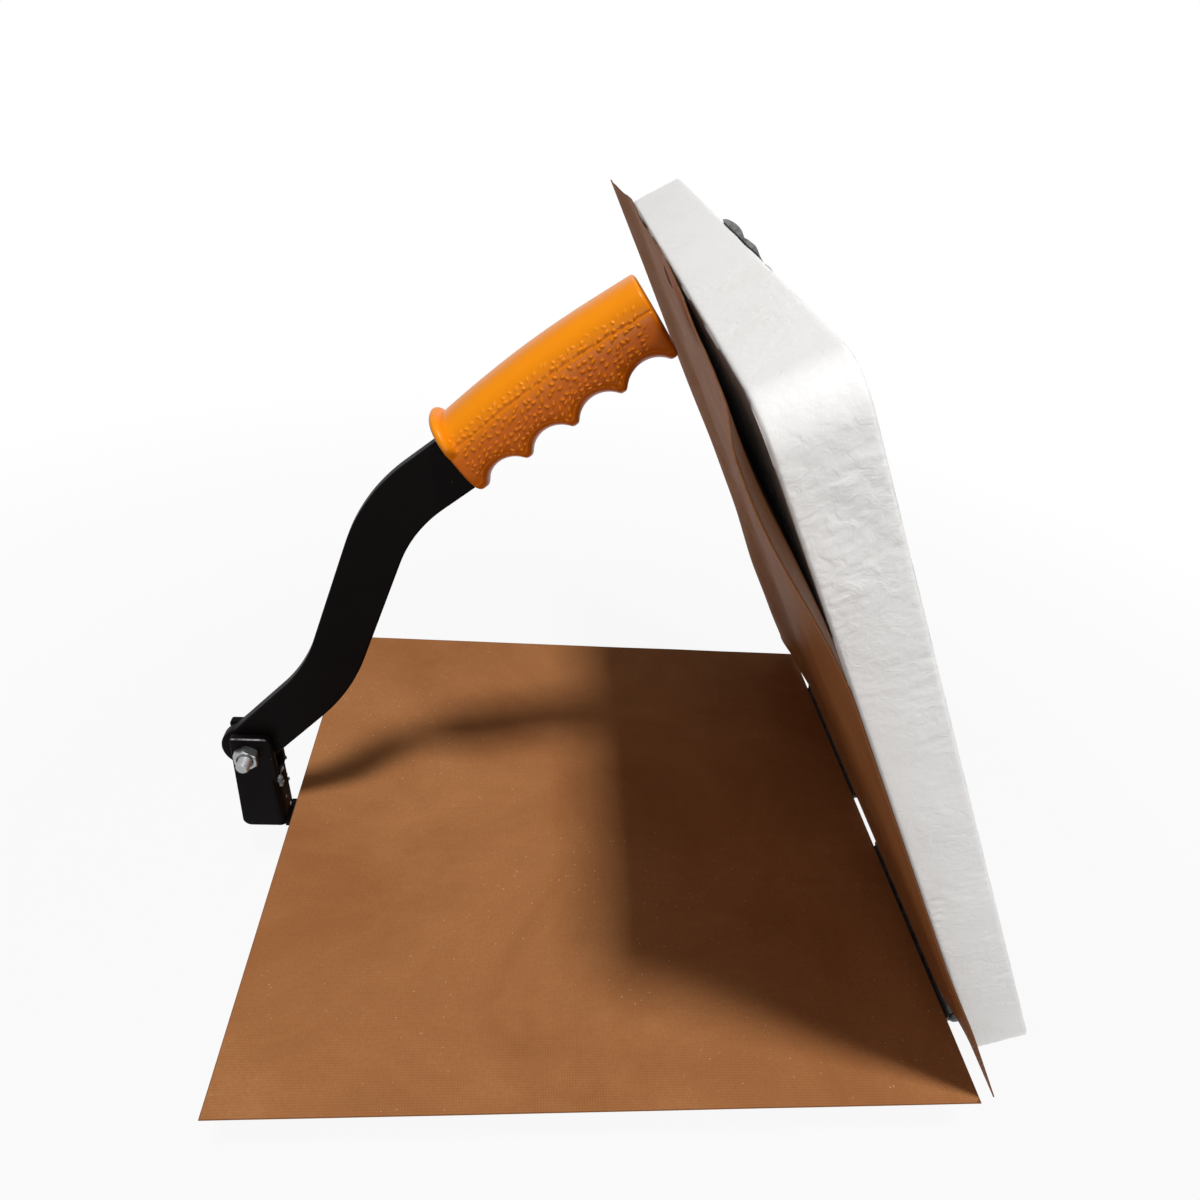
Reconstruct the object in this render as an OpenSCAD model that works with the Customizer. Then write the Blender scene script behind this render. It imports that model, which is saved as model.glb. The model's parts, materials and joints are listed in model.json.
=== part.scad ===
// Hand-lever roti press: two hinged boards faced with non-stick sheets, closed by a bent lever.
// The table is z = 0. The lever turns in a bracket at the front (-X), the lid hinges at the back (+X).

/* [Boards] */
// Length of both boards, front to back
board_l = 296; // [260:1:330]
// Width of both boards
board_w = 261; // [230:1:300]
// Thickness of both boards
board_t = 22; // [18:0.5:30]
// Radius of the boards' front corners, seen from above
front_r = 12; // [4:1:30]
// Angle between the boards as the press stands
open_angle = 59.7; // [56:0.1:75]
// Room left between the two sheets when the press is closed
dough_gap = 2; // [1:0.5:4]

/* [Sheets] */
// Thickness of a non-stick sheet
sheet_t = 0.5; // [0.3:0.1:1]
// How far a sheet stands past the board at each side
sheet_side = 19.5; // [5:0.5:30]
// How far a sheet stands past the board's front edge
sheet_front = 2; // [0:0.5:4]
// Diameter of the tack that holds the upper sheet's front edge
tack_d = 9; // [5:0.5:12]
// Thickness of the tack's head
tack_t = 0.8; // [0.5:0.1:1]
// How far the tack lies behind the front edge
tack_inset = 8; // [6:1:30]
// How far the tack lies to the far side of the middle
tack_side = 16; // [0:1:40]

/* [Feet] */
// Diameter of a rubber foot where it meets the board
foot_d = 26; // [16:1:36]
// Height of a rubber foot
foot_h = 12; // [6:1:16]
// How far a foot narrows towards the table, on the diameter
foot_taper = 5; // [1:0.5:8]
// Distance of a foot's centre from the board's edges
foot_inset = 32; // [22:1:60]
// Depth of the recess for a foot's screw
foot_recess = 4.5; // [2:0.5:5]
// Diameter of the recess for a foot's screw
foot_recess_d = 10; // [9:0.5:12]

/* [Hinges] */
// Length of a butt hinge
hinge_l = 96; // [60:1:110]
// Gap between the two hinges
hinge_gap = 36; // [10:1:60]
// Outer diameter of the knuckles
knuckle_d = 6.5; // [6:0.5:8]
// Number of knuckles in a hinge
knuckle_n = 5; // [3:2:7]
// Diameter of the hinge pin
hinge_pin_d = 3.5; // [3:0.5:4]
// Thickness of a hinge leaf
leaf_t = 2; // [1.5:0.25:2.5]
// Height of a hinge leaf on the board's back edge
leaf_h = 19; // [14:0.5:22]
// Screws in each hinge leaf
leaf_screw_n = 4; // [2:1:5]
// Distance of a leaf's screws from the board's inner face
leaf_screw_drop = 11; // [9:0.5:14]
// Thickness of the pin's flat heads
pin_head_t = 1.2; // [0.8:0.1:2]
// Diameter of the pin's flat heads
pin_head_d = 6; // [4.5:0.5:6]

/* [Bracket] */
// Length of a bracket cheek, front to back
cheek_l = 21; // [18:0.5:22]
// Thickness of the bracket's plate
cheek_t = 4; // [3:0.5:5]
// Height of the lever's pivot above the lower sheet
pivot_h = 45.2; // [44:0.2:52]
// Distance from the pivot to the bracket's back face
pivot_back = 11; // [11:0.5:13]
// How far the top of the web between the cheeks lies below the pivot
web_drop = 16; // [15:0.5:24]
// Height of the cheeks above the pivot
cheek_over = 9; // [8:0.5:14]
// Corner radius of the cheeks
cheek_r = 4; // [2:0.5:6]
// Width of the bracket's foot plate
foot_plate_w = 60; // [40:1:90]
// Length of the foot plate let into the board
foot_plate_l = 42; // [30:1:70]
// Thickness of the foot plate
foot_plate_t = 3; // [2:0.5:5]
// Distance of the foot plate's first screws from the board's front edge
plate_screw_front = 12; // [9:1:15]
// Distance of the foot plate's last screws from the board's front edge
plate_screw_back = 33; // [25:1:36]
// Distance of the foot plate's screws from the middle
plate_screw_side = 20; // [16:1:25]
// Gap between the bracket and the sheets' front edge
bracket_gap = 1.5; // [1:0.25:4]

/* [Pivot] */
// Diameter of the pivot bolt
bolt_d = 6; // [5:0.5:7]
// Width across the flats of the bolt's head and nut
nut_af = 10; // [9:0.5:13]
// Height of the nut
nut_h = 5; // [4:0.5:7]
// Diameter of the nut's flat outer face inside its chamfer
nut_face_d = 10.6; // [9:0.1:11]
// Height of the bolt's head
bolt_head_h = 4; // [3:0.5:6]
// Length of thread standing out of the nut
thread_out = 8.5; // [3:0.5:14]
// Length of the bolt's tapered tip
bolt_tip = 1; // [0.5:0.25:1.5]
// Thickness of the washers beside the lever
washer_t = 0.8; // [0.5:0.1:1.2]
// Diameter of the washers beside the lever
washer_d = 14; // [12:0.5:16]
// Outer diameter of the bush in the lever's eye
bush_d = 9; // [8.5:0.25:12]

/* [Lever] */
// Width of the lever's flat bar
bar_w = 22; // [18:0.5:26]
// Thickness of the lever's flat bar
bar_t = 6; // [4:0.5:8]
// Slope of the bar where it leaves the pivot
slope_low = 45.8; // [40:0.2:50]
// Slope of the bar's middle stretch
slope_mid = 69.5; // [60:0.5:75]
// Slope of the bar and grip at the top
slope_top = 39; // [34:0.5:42]
// Length from the pivot to the lower bend's corner
run_low = 56.3; // [50:0.1:60]
// Length from the upper bend's corner to the grip
run_top = 36; // [28:0.5:40]
// Radius of the bends along the middle of the bar
bend_r = 32; // [20:1:45]
// Radius of the rounded eye at the pivot
eye_r = 12; // [9:0.25:12]

/* [Grip] */
// Length of the grip
grip_l = 85; // [70:1:87]
// Room between the grip's end and the upper sheet as the press stands
grip_gap = 6.5; // [6:0.5:12]
// Height of the grip over its finger ridges
grip_h = 31; // [27:0.5:36]
// Thickness of the grip
grip_t = 25; // [20:0.5:30]
// Radius of the grip's long edges
grip_round = 10.5; // [6:0.5:12]
// How far the grip's middle lies above the middle of the bar
grip_rise = 2.5; // [0:0.5:4]
// Number of finger grooves
groove_n = 4; // [3:1:5]
// Depth of a finger groove
groove_deep = 5; // [3:0.5:6]
// Length of the collar at the grip's lower end
collar_l = 6; // [4:0.5:10]
// How far the collar stands out all round
collar_out = 2.5; // [1:0.5:4]
// Width of the bar's tang inside the grip
tang_w = 10; // [7:0.5:11]
// Length of the tang inside the grip
tang_l = 68; // [40:1:70]

/* [Strike plate] */
// Length of the strike plate, front to back
strike_l = 42; // [30:1:60]
// Width of the strike plate
strike_w = 54; // [40:1:70]
// Thickness of the strike plate
strike_t = 3; // [2:0.5:6]
// How far the plate's middle lies to the side of the lever
strike_shift = 10; // [0:1:20]
// Distance of the plate's screws from its ends
strike_screw_end = 10.5; // [6:0.5:14]
// Distance of the plate's screws from its near edge
strike_screw_side = 12; // [8:0.5:20]

/* [Screws] */
// Shank diameter of the wood screws
screw_d = 3.5; // [3:0.25:4.5]
// Head diameter of the wood screws
screw_head_d = 7; // [6:0.25:8]
// Height of the screws' heads
screw_head_h = 1.4; // [1:0.1:2]
// Length of a wood screw under its head
screw_l = 16; // [10:1:18]

/* [Hidden] */
$fn = 64;

// Clearances: running fits, screws in wood, flat pieces side by side, hinge knuckles, knuckles beside boards
run_fit = 0.05;
hole_fit = 0.1;
side_fit = 0.15;
knuckle_fit = 0.3;
knuckle_room = 0.35;
// Overlap of joined solids, and how far a cut runs past the face it opens
eps = 0.01;
cut = 1;

// Heights above the table
base_z = foot_h;
base_top = base_z + board_t;
sheet_top = base_top + sheet_t;
board_gap = 2 * sheet_t + dough_gap;
lid_z = base_top + board_gap;
lid_top = lid_z + board_t;
axis_z = base_top + board_gap / 2;
pivot_z = sheet_top + pivot_h;

// Places along the press, from the boards' front edges
sheet_l = board_l + sheet_front;
sheet_w = board_w + 2 * sheet_side;
hinge_out = knuckle_d / 2 + knuckle_fit + knuckle_room;
axis_x = board_l + hinge_out;
bracket_back = -sheet_front - bracket_gap;
bracket_front = bracket_back - cheek_l;
pivot_x = bracket_back - pivot_back;

// Bracket: the slot takes the bar and a washer each side
slot_w = bar_t + 2 * (washer_t + side_fit);
bracket_w = slot_w + 2 * cheek_t;
foot_plate_z = base_top - foot_plate_t;
web_top = pivot_z - web_drop;
cheek_top = pivot_z + cheek_over;

// Hinges
knuckle_l = hinge_l / knuckle_n;
hinge_mid = (hinge_gap + hinge_l) / 2;
leaf_bottom = base_top - leaf_h;
leaf_screw_step = hinge_l / leaf_screw_n;

// Lever: bends measured as arcs on the middle of the bar
bend_low = slope_mid - slope_low;
bend_top = slope_mid - slope_top;
trim_low = bend_r * tan(bend_low / 2);
trim_top = bend_r * tan(bend_top / 2);
bend_n = 16;
eye_n = 24;
eye_turn = asin(bar_w / 2 / eye_r);
function along(slope) = [cos(slope), sin(slope)];
function to_lid(v) = v[0] * sin(open_angle) + v[1] * cos(open_angle);

// Stretch between the bends: it brings the grip's end to its gap from the upper sheet
sheet_depth = to_lid([axis_x - pivot_x, axis_z - pivot_z]) + dough_gap / 2;
low_depth = run_low * to_lid(along(slope_low));
top_depth = (run_top + grip_l) * to_lid(along(slope_top));
edge_depth = (grip_rise - grip_h / 2) * to_lid(along(slope_top + 90));
run_mid = (sheet_depth - grip_gap - low_depth - top_depth - edge_depth) / to_lid(along(slope_mid));
corner_low = run_low * along(slope_low);
corner_top = corner_low + run_mid * along(slope_mid);
grip_start = corner_top + run_top * along(slope_top);
centre_low = corner_low - trim_low * along(slope_low) + bend_r * along(slope_low + 90);
centre_top = corner_top - trim_top * along(slope_mid) - bend_r * along(slope_mid + 90);

// Grip: grooves are arcs that meet in ridges
groove_step = (grip_l - collar_l) / groove_n;
groove_r = (groove_step * groove_step / 4 + groove_deep * groove_deep) / (2 * groove_deep);
collar_round = grip_round + collar_out;

// The part stands centred over its own footprint
lever_front = pivot_x - eye_r;
lid_back = axis_x - hinge_out * cos(open_angle) + (lid_top - axis_z) * sin(open_angle);
mid_x = (lever_front + lid_back) / 2;

module in_place() {
  translate([-mid_x, 0, 0]) children();
}

// Turns what is drawn on the closed lid to the angle at which the lid stands
module on_lid() {
  in_place()
    translate([axis_x, 0, axis_z])
      rotate([0, open_angle, 0])
        translate([-axis_x, 0, -axis_z]) children();
}

// Draws what is laid out along the lever: x along the first stretch from the pivot, y across it
module on_lever() {
  in_place() translate([pivot_x, 0, pivot_z]) rotate([90, 0, 0]) children();
}

// Plan of a board: square at the hinge, rounded at the front
module board_plan() {
  translate([front_r, -board_w / 2]) square([board_l - front_r, board_w]);
  translate([0, front_r - board_w / 2]) square([board_l, board_w - 2 * front_r]);
  for (side = [-1, 1])
    translate([front_r, side * (board_w / 2 - front_r)]) circle(r = front_r);
}

// Rod along Y, centred on y
module rod_y(d, l) {
  rotate([90, 0, 0]) cylinder(d = d, h = l, center = true);
}

// Wood screw pointing down from its seat at z = 0, with a domed head
module wood_screw(l = screw_l) {
  dome_r = (screw_head_d * screw_head_d / 4 + screw_head_h * screw_head_h) / (2 * screw_head_h);
  intersection() {
    cylinder(d = screw_head_d, h = screw_head_h);
    translate([0, 0, screw_head_h - dome_r]) sphere(r = dome_r);
  }
  translate([0, 0, -l]) cylinder(d = screw_d, h = l + eps);
}

// Pilot hole for a wood screw, open at the seat
module pilot(l = screw_l) {
  translate([0, 0, -l - cut]) cylinder(d = screw_d + 2 * hole_fit, h = l + 2 * cut);
}

// Corners of the bracket's foot plate screws, on the board's top
module at_bracket_screws() {
  for (x = [plate_screw_front, plate_screw_back], side = [-1, 1])
    translate([x, side * plate_screw_side, base_top]) children();
}

// Middles of the four feet, on the base's underside
module at_feet() {
  for (x = [foot_inset, board_l - foot_inset], side = [-1, 1])
    translate([x, side * (board_w / 2 - foot_inset), base_z]) children();
}

// Screws of one hinge leaf, in the base's back edge, pointing in
module at_leaf_screws(side) {
  for (i = [0 : leaf_screw_n - 1])
    translate([board_l + leaf_t, side * hinge_mid - hinge_l / 2 + (i + 0.5) * leaf_screw_step,
      base_top - leaf_screw_drop])
      rotate([0, 90, 0]) children();
}

// Mirrors the base's back edge onto the lid's
module lid_side() {
  translate([0, 0, 2 * axis_z]) mirror([0, 0, 1]) children();
}

// Screws of the strike plate, on the lid's outer face
module at_strike_screws() {
  for (x = [strike_screw_end, strike_l - strike_screw_end])
    translate([x, strike_screw_side - strike_shift - strike_w / 2, lid_top + strike_t]) children();
}

module base_board() {
  color("whitesmoke") in_place() difference() {
    translate([0, 0, base_z]) linear_extrude(board_t) board_plan();
    translate([-cut, -foot_plate_w / 2 - side_fit, foot_plate_z])
      cube([foot_plate_l + cut + side_fit, foot_plate_w + 2 * side_fit, foot_plate_t + cut]);
    at_bracket_screws() translate([0, 0, -screw_head_h]) pilot();
    at_feet() rotate([180, 0, 0]) pilot();
    for (side = [-1, 1]) at_leaf_screws(side) pilot(screw_l + leaf_t);
  }
}

module lower_sheet() {
  color("saddlebrown") in_place()
    translate([-sheet_front, -sheet_w / 2, base_top]) cube([sheet_l, sheet_w, sheet_t]);
}

module rubber_feet() {
  color("dimgray") in_place() at_feet() rotate([180, 0, 0]) difference() {
    cylinder(d1 = foot_d, d2 = foot_d - foot_taper, h = foot_h);
    translate([0, 0, foot_h - foot_recess]) cylinder(d = foot_recess_d, h = foot_recess + cut);
    translate([0, 0, -cut]) cylinder(d = screw_d + 2 * hole_fit, h = foot_h + 2 * cut);
  }
}

module foot_screws() {
  color("silver") in_place() at_feet()
    rotate([180, 0, 0]) translate([0, 0, foot_h - foot_recess]) wood_screw();
}

// Side of the bracket: a plate with rounded front corners and a rounded top at the back
module cheek_side() {
  bottom = foot_plate_z;
  tall = cheek_top - bottom;
  translate([bracket_front, bottom + cheek_r]) square([cheek_l, tall - 2 * cheek_r]);
  translate([bracket_front + cheek_r, bottom]) square([cheek_l - cheek_r, tall - cheek_r]);
  translate([bracket_front + cheek_r, bottom]) square([cheek_l - 2 * cheek_r, tall]);
  for (at = [[cheek_r, cheek_r], [cheek_r, tall - cheek_r], [cheek_l - cheek_r, tall - cheek_r]])
    translate([bracket_front + at[0], bottom + at[1]]) circle(r = cheek_r);
}

module lever_bracket() {
  color("#1a1716") in_place() difference() {
    union() {
      for (side = [-1, 1])
        translate([0, side * (slot_w + cheek_t) / 2, 0])
          rotate([90, 0, 0]) linear_extrude(cheek_t, center = true) cheek_side();
      translate([bracket_back - cheek_t, -bracket_w / 2, foot_plate_z])
        cube([cheek_t, bracket_w, web_top - foot_plate_z]);
      translate([bracket_back - eps, -bracket_w / 2, foot_plate_z])
        cube([foot_plate_l - bracket_back, bracket_w, foot_plate_t]);
      translate([side_fit, -foot_plate_w / 2, foot_plate_z])
        cube([foot_plate_l - side_fit, foot_plate_w, foot_plate_t]);
    }
    translate([pivot_x, 0, pivot_z]) rod_y(bolt_d + 2 * hole_fit, bracket_w + 2 * cut);
    at_bracket_screws() pilot();
    at_bracket_screws() translate([0, 0, -screw_head_h])
      cylinder(d = screw_head_d + 2 * hole_fit, h = screw_head_h + cut);
  }
}

module bracket_screws() {
  color("silver") in_place() at_bracket_screws() translate([0, 0, -screw_head_h]) wood_screw();
}

module pivot_bolt() {
  near = bracket_w / 2 + nut_h + thread_out;
  color("silver") in_place() translate([pivot_x, 0, pivot_z]) rotate([90, 0, 0]) {
    translate([0, 0, -bracket_w / 2 - bolt_head_h])
      cylinder(d = nut_af / cos(30), h = bolt_head_h, $fn = 6);
    translate([0, 0, -bracket_w / 2 - eps]) cylinder(d = bolt_d, h = bracket_w / 2 + near - bolt_tip + eps);
    translate([0, 0, near - bolt_tip]) cylinder(d1 = bolt_d, d2 = bolt_d - 2 * bolt_tip, h = bolt_tip);
  }
}

module pivot_nut() {
  color("silver") in_place() translate([pivot_x, 0, pivot_z]) rotate([90, 0, 0])
    translate([0, 0, bracket_w / 2]) difference() {
      intersection() {
        rotate(30) cylinder(d = nut_af / cos(30), h = nut_h, $fn = 6);
        cylinder(d1 = nut_face_d + 2 * nut_h, d2 = nut_face_d, h = nut_h);
      }
      translate([0, 0, -cut]) cylinder(d = bolt_d + 2 * run_fit, h = nut_h + 2 * cut);
    }
}

module pivot_washers() {
  color("silver") in_place() translate([pivot_x, 0, pivot_z])
    for (side = [-1, 1])
      translate([0, side * (slot_w - washer_t) / 2, 0]) difference() {
        rod_y(washer_d, washer_t);
        rod_y(bolt_d + 2 * hole_fit, washer_t + 2 * cut);
      }
}

// Leaf on the base's back edge with every second knuckle, starting with the one given
module hinge_leaf(side, first) {
  start = side * hinge_mid - hinge_l / 2;
  difference() {
    union() {
      translate([board_l, start, leaf_bottom]) cube([leaf_t, hinge_l, leaf_h]);
      for (i = [first : 2 : knuckle_n - 1])
        translate([axis_x, start + (i + 0.5) * knuckle_l, axis_z])
          rod_y(knuckle_d, knuckle_l - knuckle_fit);
    }
    for (i = [1 - first : 2 : knuckle_n - 1])
      translate([axis_x, start + (i + 0.5) * knuckle_l, axis_z])
        rod_y(knuckle_d + 2 * knuckle_fit, knuckle_l + knuckle_fit);
    translate([axis_x, side * hinge_mid, axis_z]) rod_y(hinge_pin_d + 2 * run_fit, hinge_l + 2 * cut);
    at_leaf_screws(side) pilot();
  }
}

module near_base_leaf() {
  color("#2b2a2c") in_place() hinge_leaf(-1, 0);
}

module far_base_leaf() {
  color("#2b2a2c") in_place() hinge_leaf(1, 0);
}

module near_lid_leaf() {
  color("#2b2a2c") on_lid() lid_side() hinge_leaf(-1, 1);
}

module far_lid_leaf() {
  color("#2b2a2c") on_lid() lid_side() hinge_leaf(1, 1);
}

module base_leaf_screws() {
  color("dimgray") in_place() for (side = [-1, 1]) at_leaf_screws(side) wood_screw();
}

module lid_leaf_screws() {
  color("dimgray") on_lid() lid_side() for (side = [-1, 1]) at_leaf_screws(side) wood_screw();
}

// Hinge pin with a flat head at both ends
module hinge_pin(side) {
  in_place() translate([axis_x, side * hinge_mid, axis_z]) {
    rod_y(hinge_pin_d, hinge_l + 2 * knuckle_fit);
    for (end = [-1, 1])
      translate([0, end * (hinge_l + 2 * knuckle_fit + pin_head_t) / 2, 0])
        rod_y(pin_head_d, pin_head_t + eps);
  }
}

module near_hinge_pin() {
  color("#2b2a2c") hinge_pin(-1);
}

module far_hinge_pin() {
  color("#2b2a2c") hinge_pin(1);
}

module lid_board() {
  color("whitesmoke") on_lid() difference() {
    translate([0, 0, lid_z]) linear_extrude(board_t) board_plan();
    at_strike_screws() translate([0, 0, -strike_t]) pilot();
    lid_side() for (side = [-1, 1]) at_leaf_screws(side) pilot(screw_l + leaf_t);
  }
}

module upper_sheet() {
  color("saddlebrown") on_lid()
    translate([-sheet_front, -sheet_w / 2, lid_z - sheet_t]) cube([sheet_l, sheet_w, sheet_t]);
}

module sheet_tack() {
  color("#3a2a20") on_lid()
    translate([tack_inset, tack_side, lid_z - sheet_t - tack_t])
      cylinder(d1 = tack_d - 2 * tack_t, d2 = tack_d, h = tack_t);
}

module strike_plate() {
  color("#3c3c3e") on_lid() difference() {
    translate([0, -strike_shift - strike_w / 2, lid_top]) cube([strike_l, strike_w, strike_t]);
    at_strike_screws() pilot();
  }
}

module strike_screws() {
  color("silver") on_lid() at_strike_screws() wood_screw();
}

// Points of an arc about c, from angle a to angle b in n steps
function arc(c, r, a, b, n) = [for (i = [0 : n]) c + r * along(a + (b - a) * i / n)];

// Points along one side of the bar, from the eye to the tang's end; side is 1 or -1
function bar_side(side) = concat(
  arc([0, 0], eye_r, slope_low + side * 180, slope_low + side * eye_turn, eye_n),
  arc(centre_low, bend_r - side * bar_w / 2, slope_low - 90, slope_mid - 90, bend_n),
  arc(centre_top, bend_r + side * bar_w / 2, slope_mid + 90, slope_top + 90, bend_n),
  [for (at = [[0, bar_w], [0, tang_w], [tang_l, tang_w]])
    grip_start + at[0] * along(slope_top) + side * at[1] / 2 * along(slope_top + 90)]
);

// Turns a list of points round, without its first point
function back(points) = [for (i = [len(points) - 1 : -1 : 1]) points[i]];

// Goes from the pivot to the start of the grip, along the bent bar
module at_grip() {
  translate(grip_start) rotate(slope_top) children();
}

module lever_bar() {
  color("#15100f") on_lever() difference() {
    linear_extrude(bar_t, center = true) polygon(concat(bar_side(1), back(bar_side(-1))));
    cylinder(d = bush_d + 2 * run_fit, h = bar_t + 2 * cut, center = true);
  }
}

module pivot_bush() {
  color("silver") on_lever() difference() {
    cylinder(d = bush_d, h = bar_t, center = true);
    cylinder(d = bolt_d + 2 * run_fit, h = bar_t + 2 * cut, center = true);
  }
}

// Rectangle with round corners, centred
module round_rect(w, h, r) {
  square([w - 2 * r, h], center = true);
  square([w, h - 2 * r], center = true);
  for (sx = [-1, 1], sy = [-1, 1])
    translate([sx * (w / 2 - r), sy * (h / 2 - r)]) circle(r = r);
}

// Side of the grip: straight on top, finger grooves below
module grip_side() {
  difference() {
    translate([0, -grip_h / 2]) square([grip_l, grip_h]);
    for (i = [0 : groove_n - 1])
      translate([collar_l + (i + 0.5) * groove_step, groove_deep - grip_h / 2 - groove_r])
        circle(r = groove_r);
  }
}

module grip() {
  color("#f08a1c") on_lever() at_grip() translate([0, grip_rise, 0]) difference() {
    union() {
      intersection() {
        linear_extrude(grip_t, center = true) grip_side();
        rotate([90, 0, 90]) linear_extrude(grip_l) round_rect(grip_h, grip_t, grip_round);
      }
      rotate([90, 0, 90]) linear_extrude(collar_l)
        round_rect(grip_h + 2 * collar_out, grip_t + 2 * collar_out, collar_round);
    }
    translate([-cut, -grip_rise - tang_w / 2 - hole_fit, -bar_t / 2 - hole_fit])
      cube([tang_l + cut + hole_fit, tang_w + 2 * hole_fit, bar_t + 2 * hole_fit]);
  }
}

base_board();
lower_sheet();
rubber_feet();
foot_screws();
lever_bracket();
bracket_screws();
pivot_bolt();
pivot_nut();
pivot_washers();
near_base_leaf();
far_base_leaf();
base_leaf_screws();
near_hinge_pin();
far_hinge_pin();
near_lid_leaf();
far_lid_leaf();
lid_leaf_screws();
lid_board();
upper_sheet();
sheet_tack();
strike_plate();
strike_screws();
lever_bar();
pivot_bush();
grip();
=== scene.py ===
"""Looks of the hand-lever roti press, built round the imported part."""

import json
import math

import bmesh
import bpy
import numpy as np
from mathutils import Matrix, Vector, noise


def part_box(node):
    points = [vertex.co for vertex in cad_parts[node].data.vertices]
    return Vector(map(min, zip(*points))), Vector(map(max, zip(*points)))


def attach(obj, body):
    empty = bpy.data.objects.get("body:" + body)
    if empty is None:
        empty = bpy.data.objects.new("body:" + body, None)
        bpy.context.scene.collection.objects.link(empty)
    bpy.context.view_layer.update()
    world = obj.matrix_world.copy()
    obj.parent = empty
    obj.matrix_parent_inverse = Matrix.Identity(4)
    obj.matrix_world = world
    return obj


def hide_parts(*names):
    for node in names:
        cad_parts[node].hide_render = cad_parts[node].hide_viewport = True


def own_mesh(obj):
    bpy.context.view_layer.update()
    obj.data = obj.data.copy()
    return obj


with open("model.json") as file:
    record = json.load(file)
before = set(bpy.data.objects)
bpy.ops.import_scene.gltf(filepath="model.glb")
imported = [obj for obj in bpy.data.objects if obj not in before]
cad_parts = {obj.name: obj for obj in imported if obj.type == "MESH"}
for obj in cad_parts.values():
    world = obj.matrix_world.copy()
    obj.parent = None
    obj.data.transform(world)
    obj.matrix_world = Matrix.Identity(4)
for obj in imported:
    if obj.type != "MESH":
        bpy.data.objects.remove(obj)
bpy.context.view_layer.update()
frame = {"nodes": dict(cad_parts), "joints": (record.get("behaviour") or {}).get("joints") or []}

MM = 0.001
QUARTER = math.pi / 2
MERGE, MERGE_FINE = 1e-6, 1e-7
ROUND_STEPS = 48
JOINT = {j["name"]: j for j in frame["joints"]}
AXIS = Vector(JOINT["lid_close"]["pos_m"])
PIVOT = Vector(JOINT["lever_pivot"]["pos_m"])

# Places read from the frame
BASE_LO, BASE_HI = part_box("base_board")
FRONT = BASE_LO.x
BACK = BASE_HI.x
HALF_W = BASE_HI.y
BASE_TOP = BASE_HI.z
BOARD_T = BASE_HI.z - BASE_LO.z
SHEET_LO, SHEET_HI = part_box("lower_sheet")
SHEET_T = SHEET_HI.z - SHEET_LO.z
BRACKET_LO, BRACKET_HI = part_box("lever_bracket")
FOOT_H = BASE_LO.z
LID_Z = 2 * AXIS.z - BASE_TOP
LID_TOP = LID_Z + BOARD_T

# Sizes repeated from the part's source
OPEN = math.radians(59.7)
FRONT_R = 12 * MM
BAR_W = 22 * MM
BAR_T = 6 * MM
EYE_R = 12 * MM
SLOPE_LOW, SLOPE_MID, SLOPE_TOP = (math.radians(a) for a in (45.8, 69.5, 39))
RUN_LOW, RUN_TOP, GRIP_GAP = 56.3 * MM, 36 * MM, 6.5 * MM
TANG_W, TANG_L = 10 * MM, 68 * MM
GRIP_L, GRIP_H, GRIP_T, GRIP_RISE = 85 * MM, 31 * MM, 25 * MM, 2.5 * MM
GROOVES, GROOVE_DEEP, COLLAR_OUT = 4, 5 * MM, 2.5 * MM
BUSH_D, WASHER_T, SIDE_FIT = 9 * MM, 0.8 * MM, 0.15 * MM
CHEEK_L, CHEEK_T, CHEEK_R = 21 * MM, 4 * MM, 4 * MM
BRACKET_HALF = BAR_T / 2 + WASHER_T + SIDE_FIT + CHEEK_T
WEB_TOP = PIVOT.z - 16 * MM
PLATE_W, PLATE_L, PLATE_T = 60 * MM, 42 * MM, 3 * MM
BOLT_D, NUT_AF, NUT_H, HEAD_H = 6 * MM, 10 * MM, 5 * MM, 4 * MM
HINGE_L, HINGE_MID, KNUCKLES, KNUCKLE_D = 96 * MM, 66 * MM, 5, 6.5 * MM
LEAF_T, LEAF_H, LEAF_SCREWS, LEAF_SCREW_DROP = 2 * MM, 19 * MM, 4, 11 * MM
PIN_D, KNUCKLE_FIT, PIN_HEAD_D, PIN_HEAD_T = 3.5 * MM, 0.3 * MM, 6 * MM, 1.2 * MM
SCREW_D, SCREW_HEAD_D, SCREW_HEAD_H, SCREW_L = 3.5 * MM, 7 * MM, 1.4 * MM, 16 * MM
STRIKE_L, STRIKE_W, STRIKE_T, STRIKE_SHIFT = 42 * MM, 54 * MM, 3 * MM, 10 * MM
STRIKE_SCREW_END, STRIKE_SCREW_SIDE = 10.5 * MM, 12 * MM
TACK_D, TACK_T, TACK_INSET, TACK_SIDE = 9 * MM, 0.8 * MM, 8 * MM, 16 * MM
FOOT_D, FOOT_TAPER, FOOT_INSET, FOOT_RECESS, FOOT_RECESS_D = 26 * MM, 5 * MM, 32 * MM, 4.5 * MM, 10 * MM

# Closed lid to the lid as it stands, base to closed lid, upside down, and the lever's plane to the part
LID = Matrix.Translation(AXIS) @ Matrix.Rotation(OPEN, 4, "Y") @ Matrix.Translation(-AXIS)
MIRROR = Matrix.Translation((0, 0, 2 * AXIS.z)) @ Matrix.Scale(-1, 4, (0, 0, 1))
FLIP = Matrix.Rotation(math.pi, 4, "X")
LEVER = Matrix.Translation(PIVOT) @ Matrix.Rotation(QUARTER, 4, "X")


def along(angle):
    """Unit vector at an angle in a drawing plane."""
    return np.array([math.cos(angle), math.sin(angle)])


def arc(centre, radius, start, end, steps):
    """Points of an arc from one angle to another."""
    return [np.array(centre) + radius * along(start + (end - start) * i / steps) for i in range(steps + 1)]


def circle(centre, radius, steps=32):
    """Points of a circle, anticlockwise."""
    return arc(centre, radius, 0, 2 * math.pi, steps)[:-1]


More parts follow.
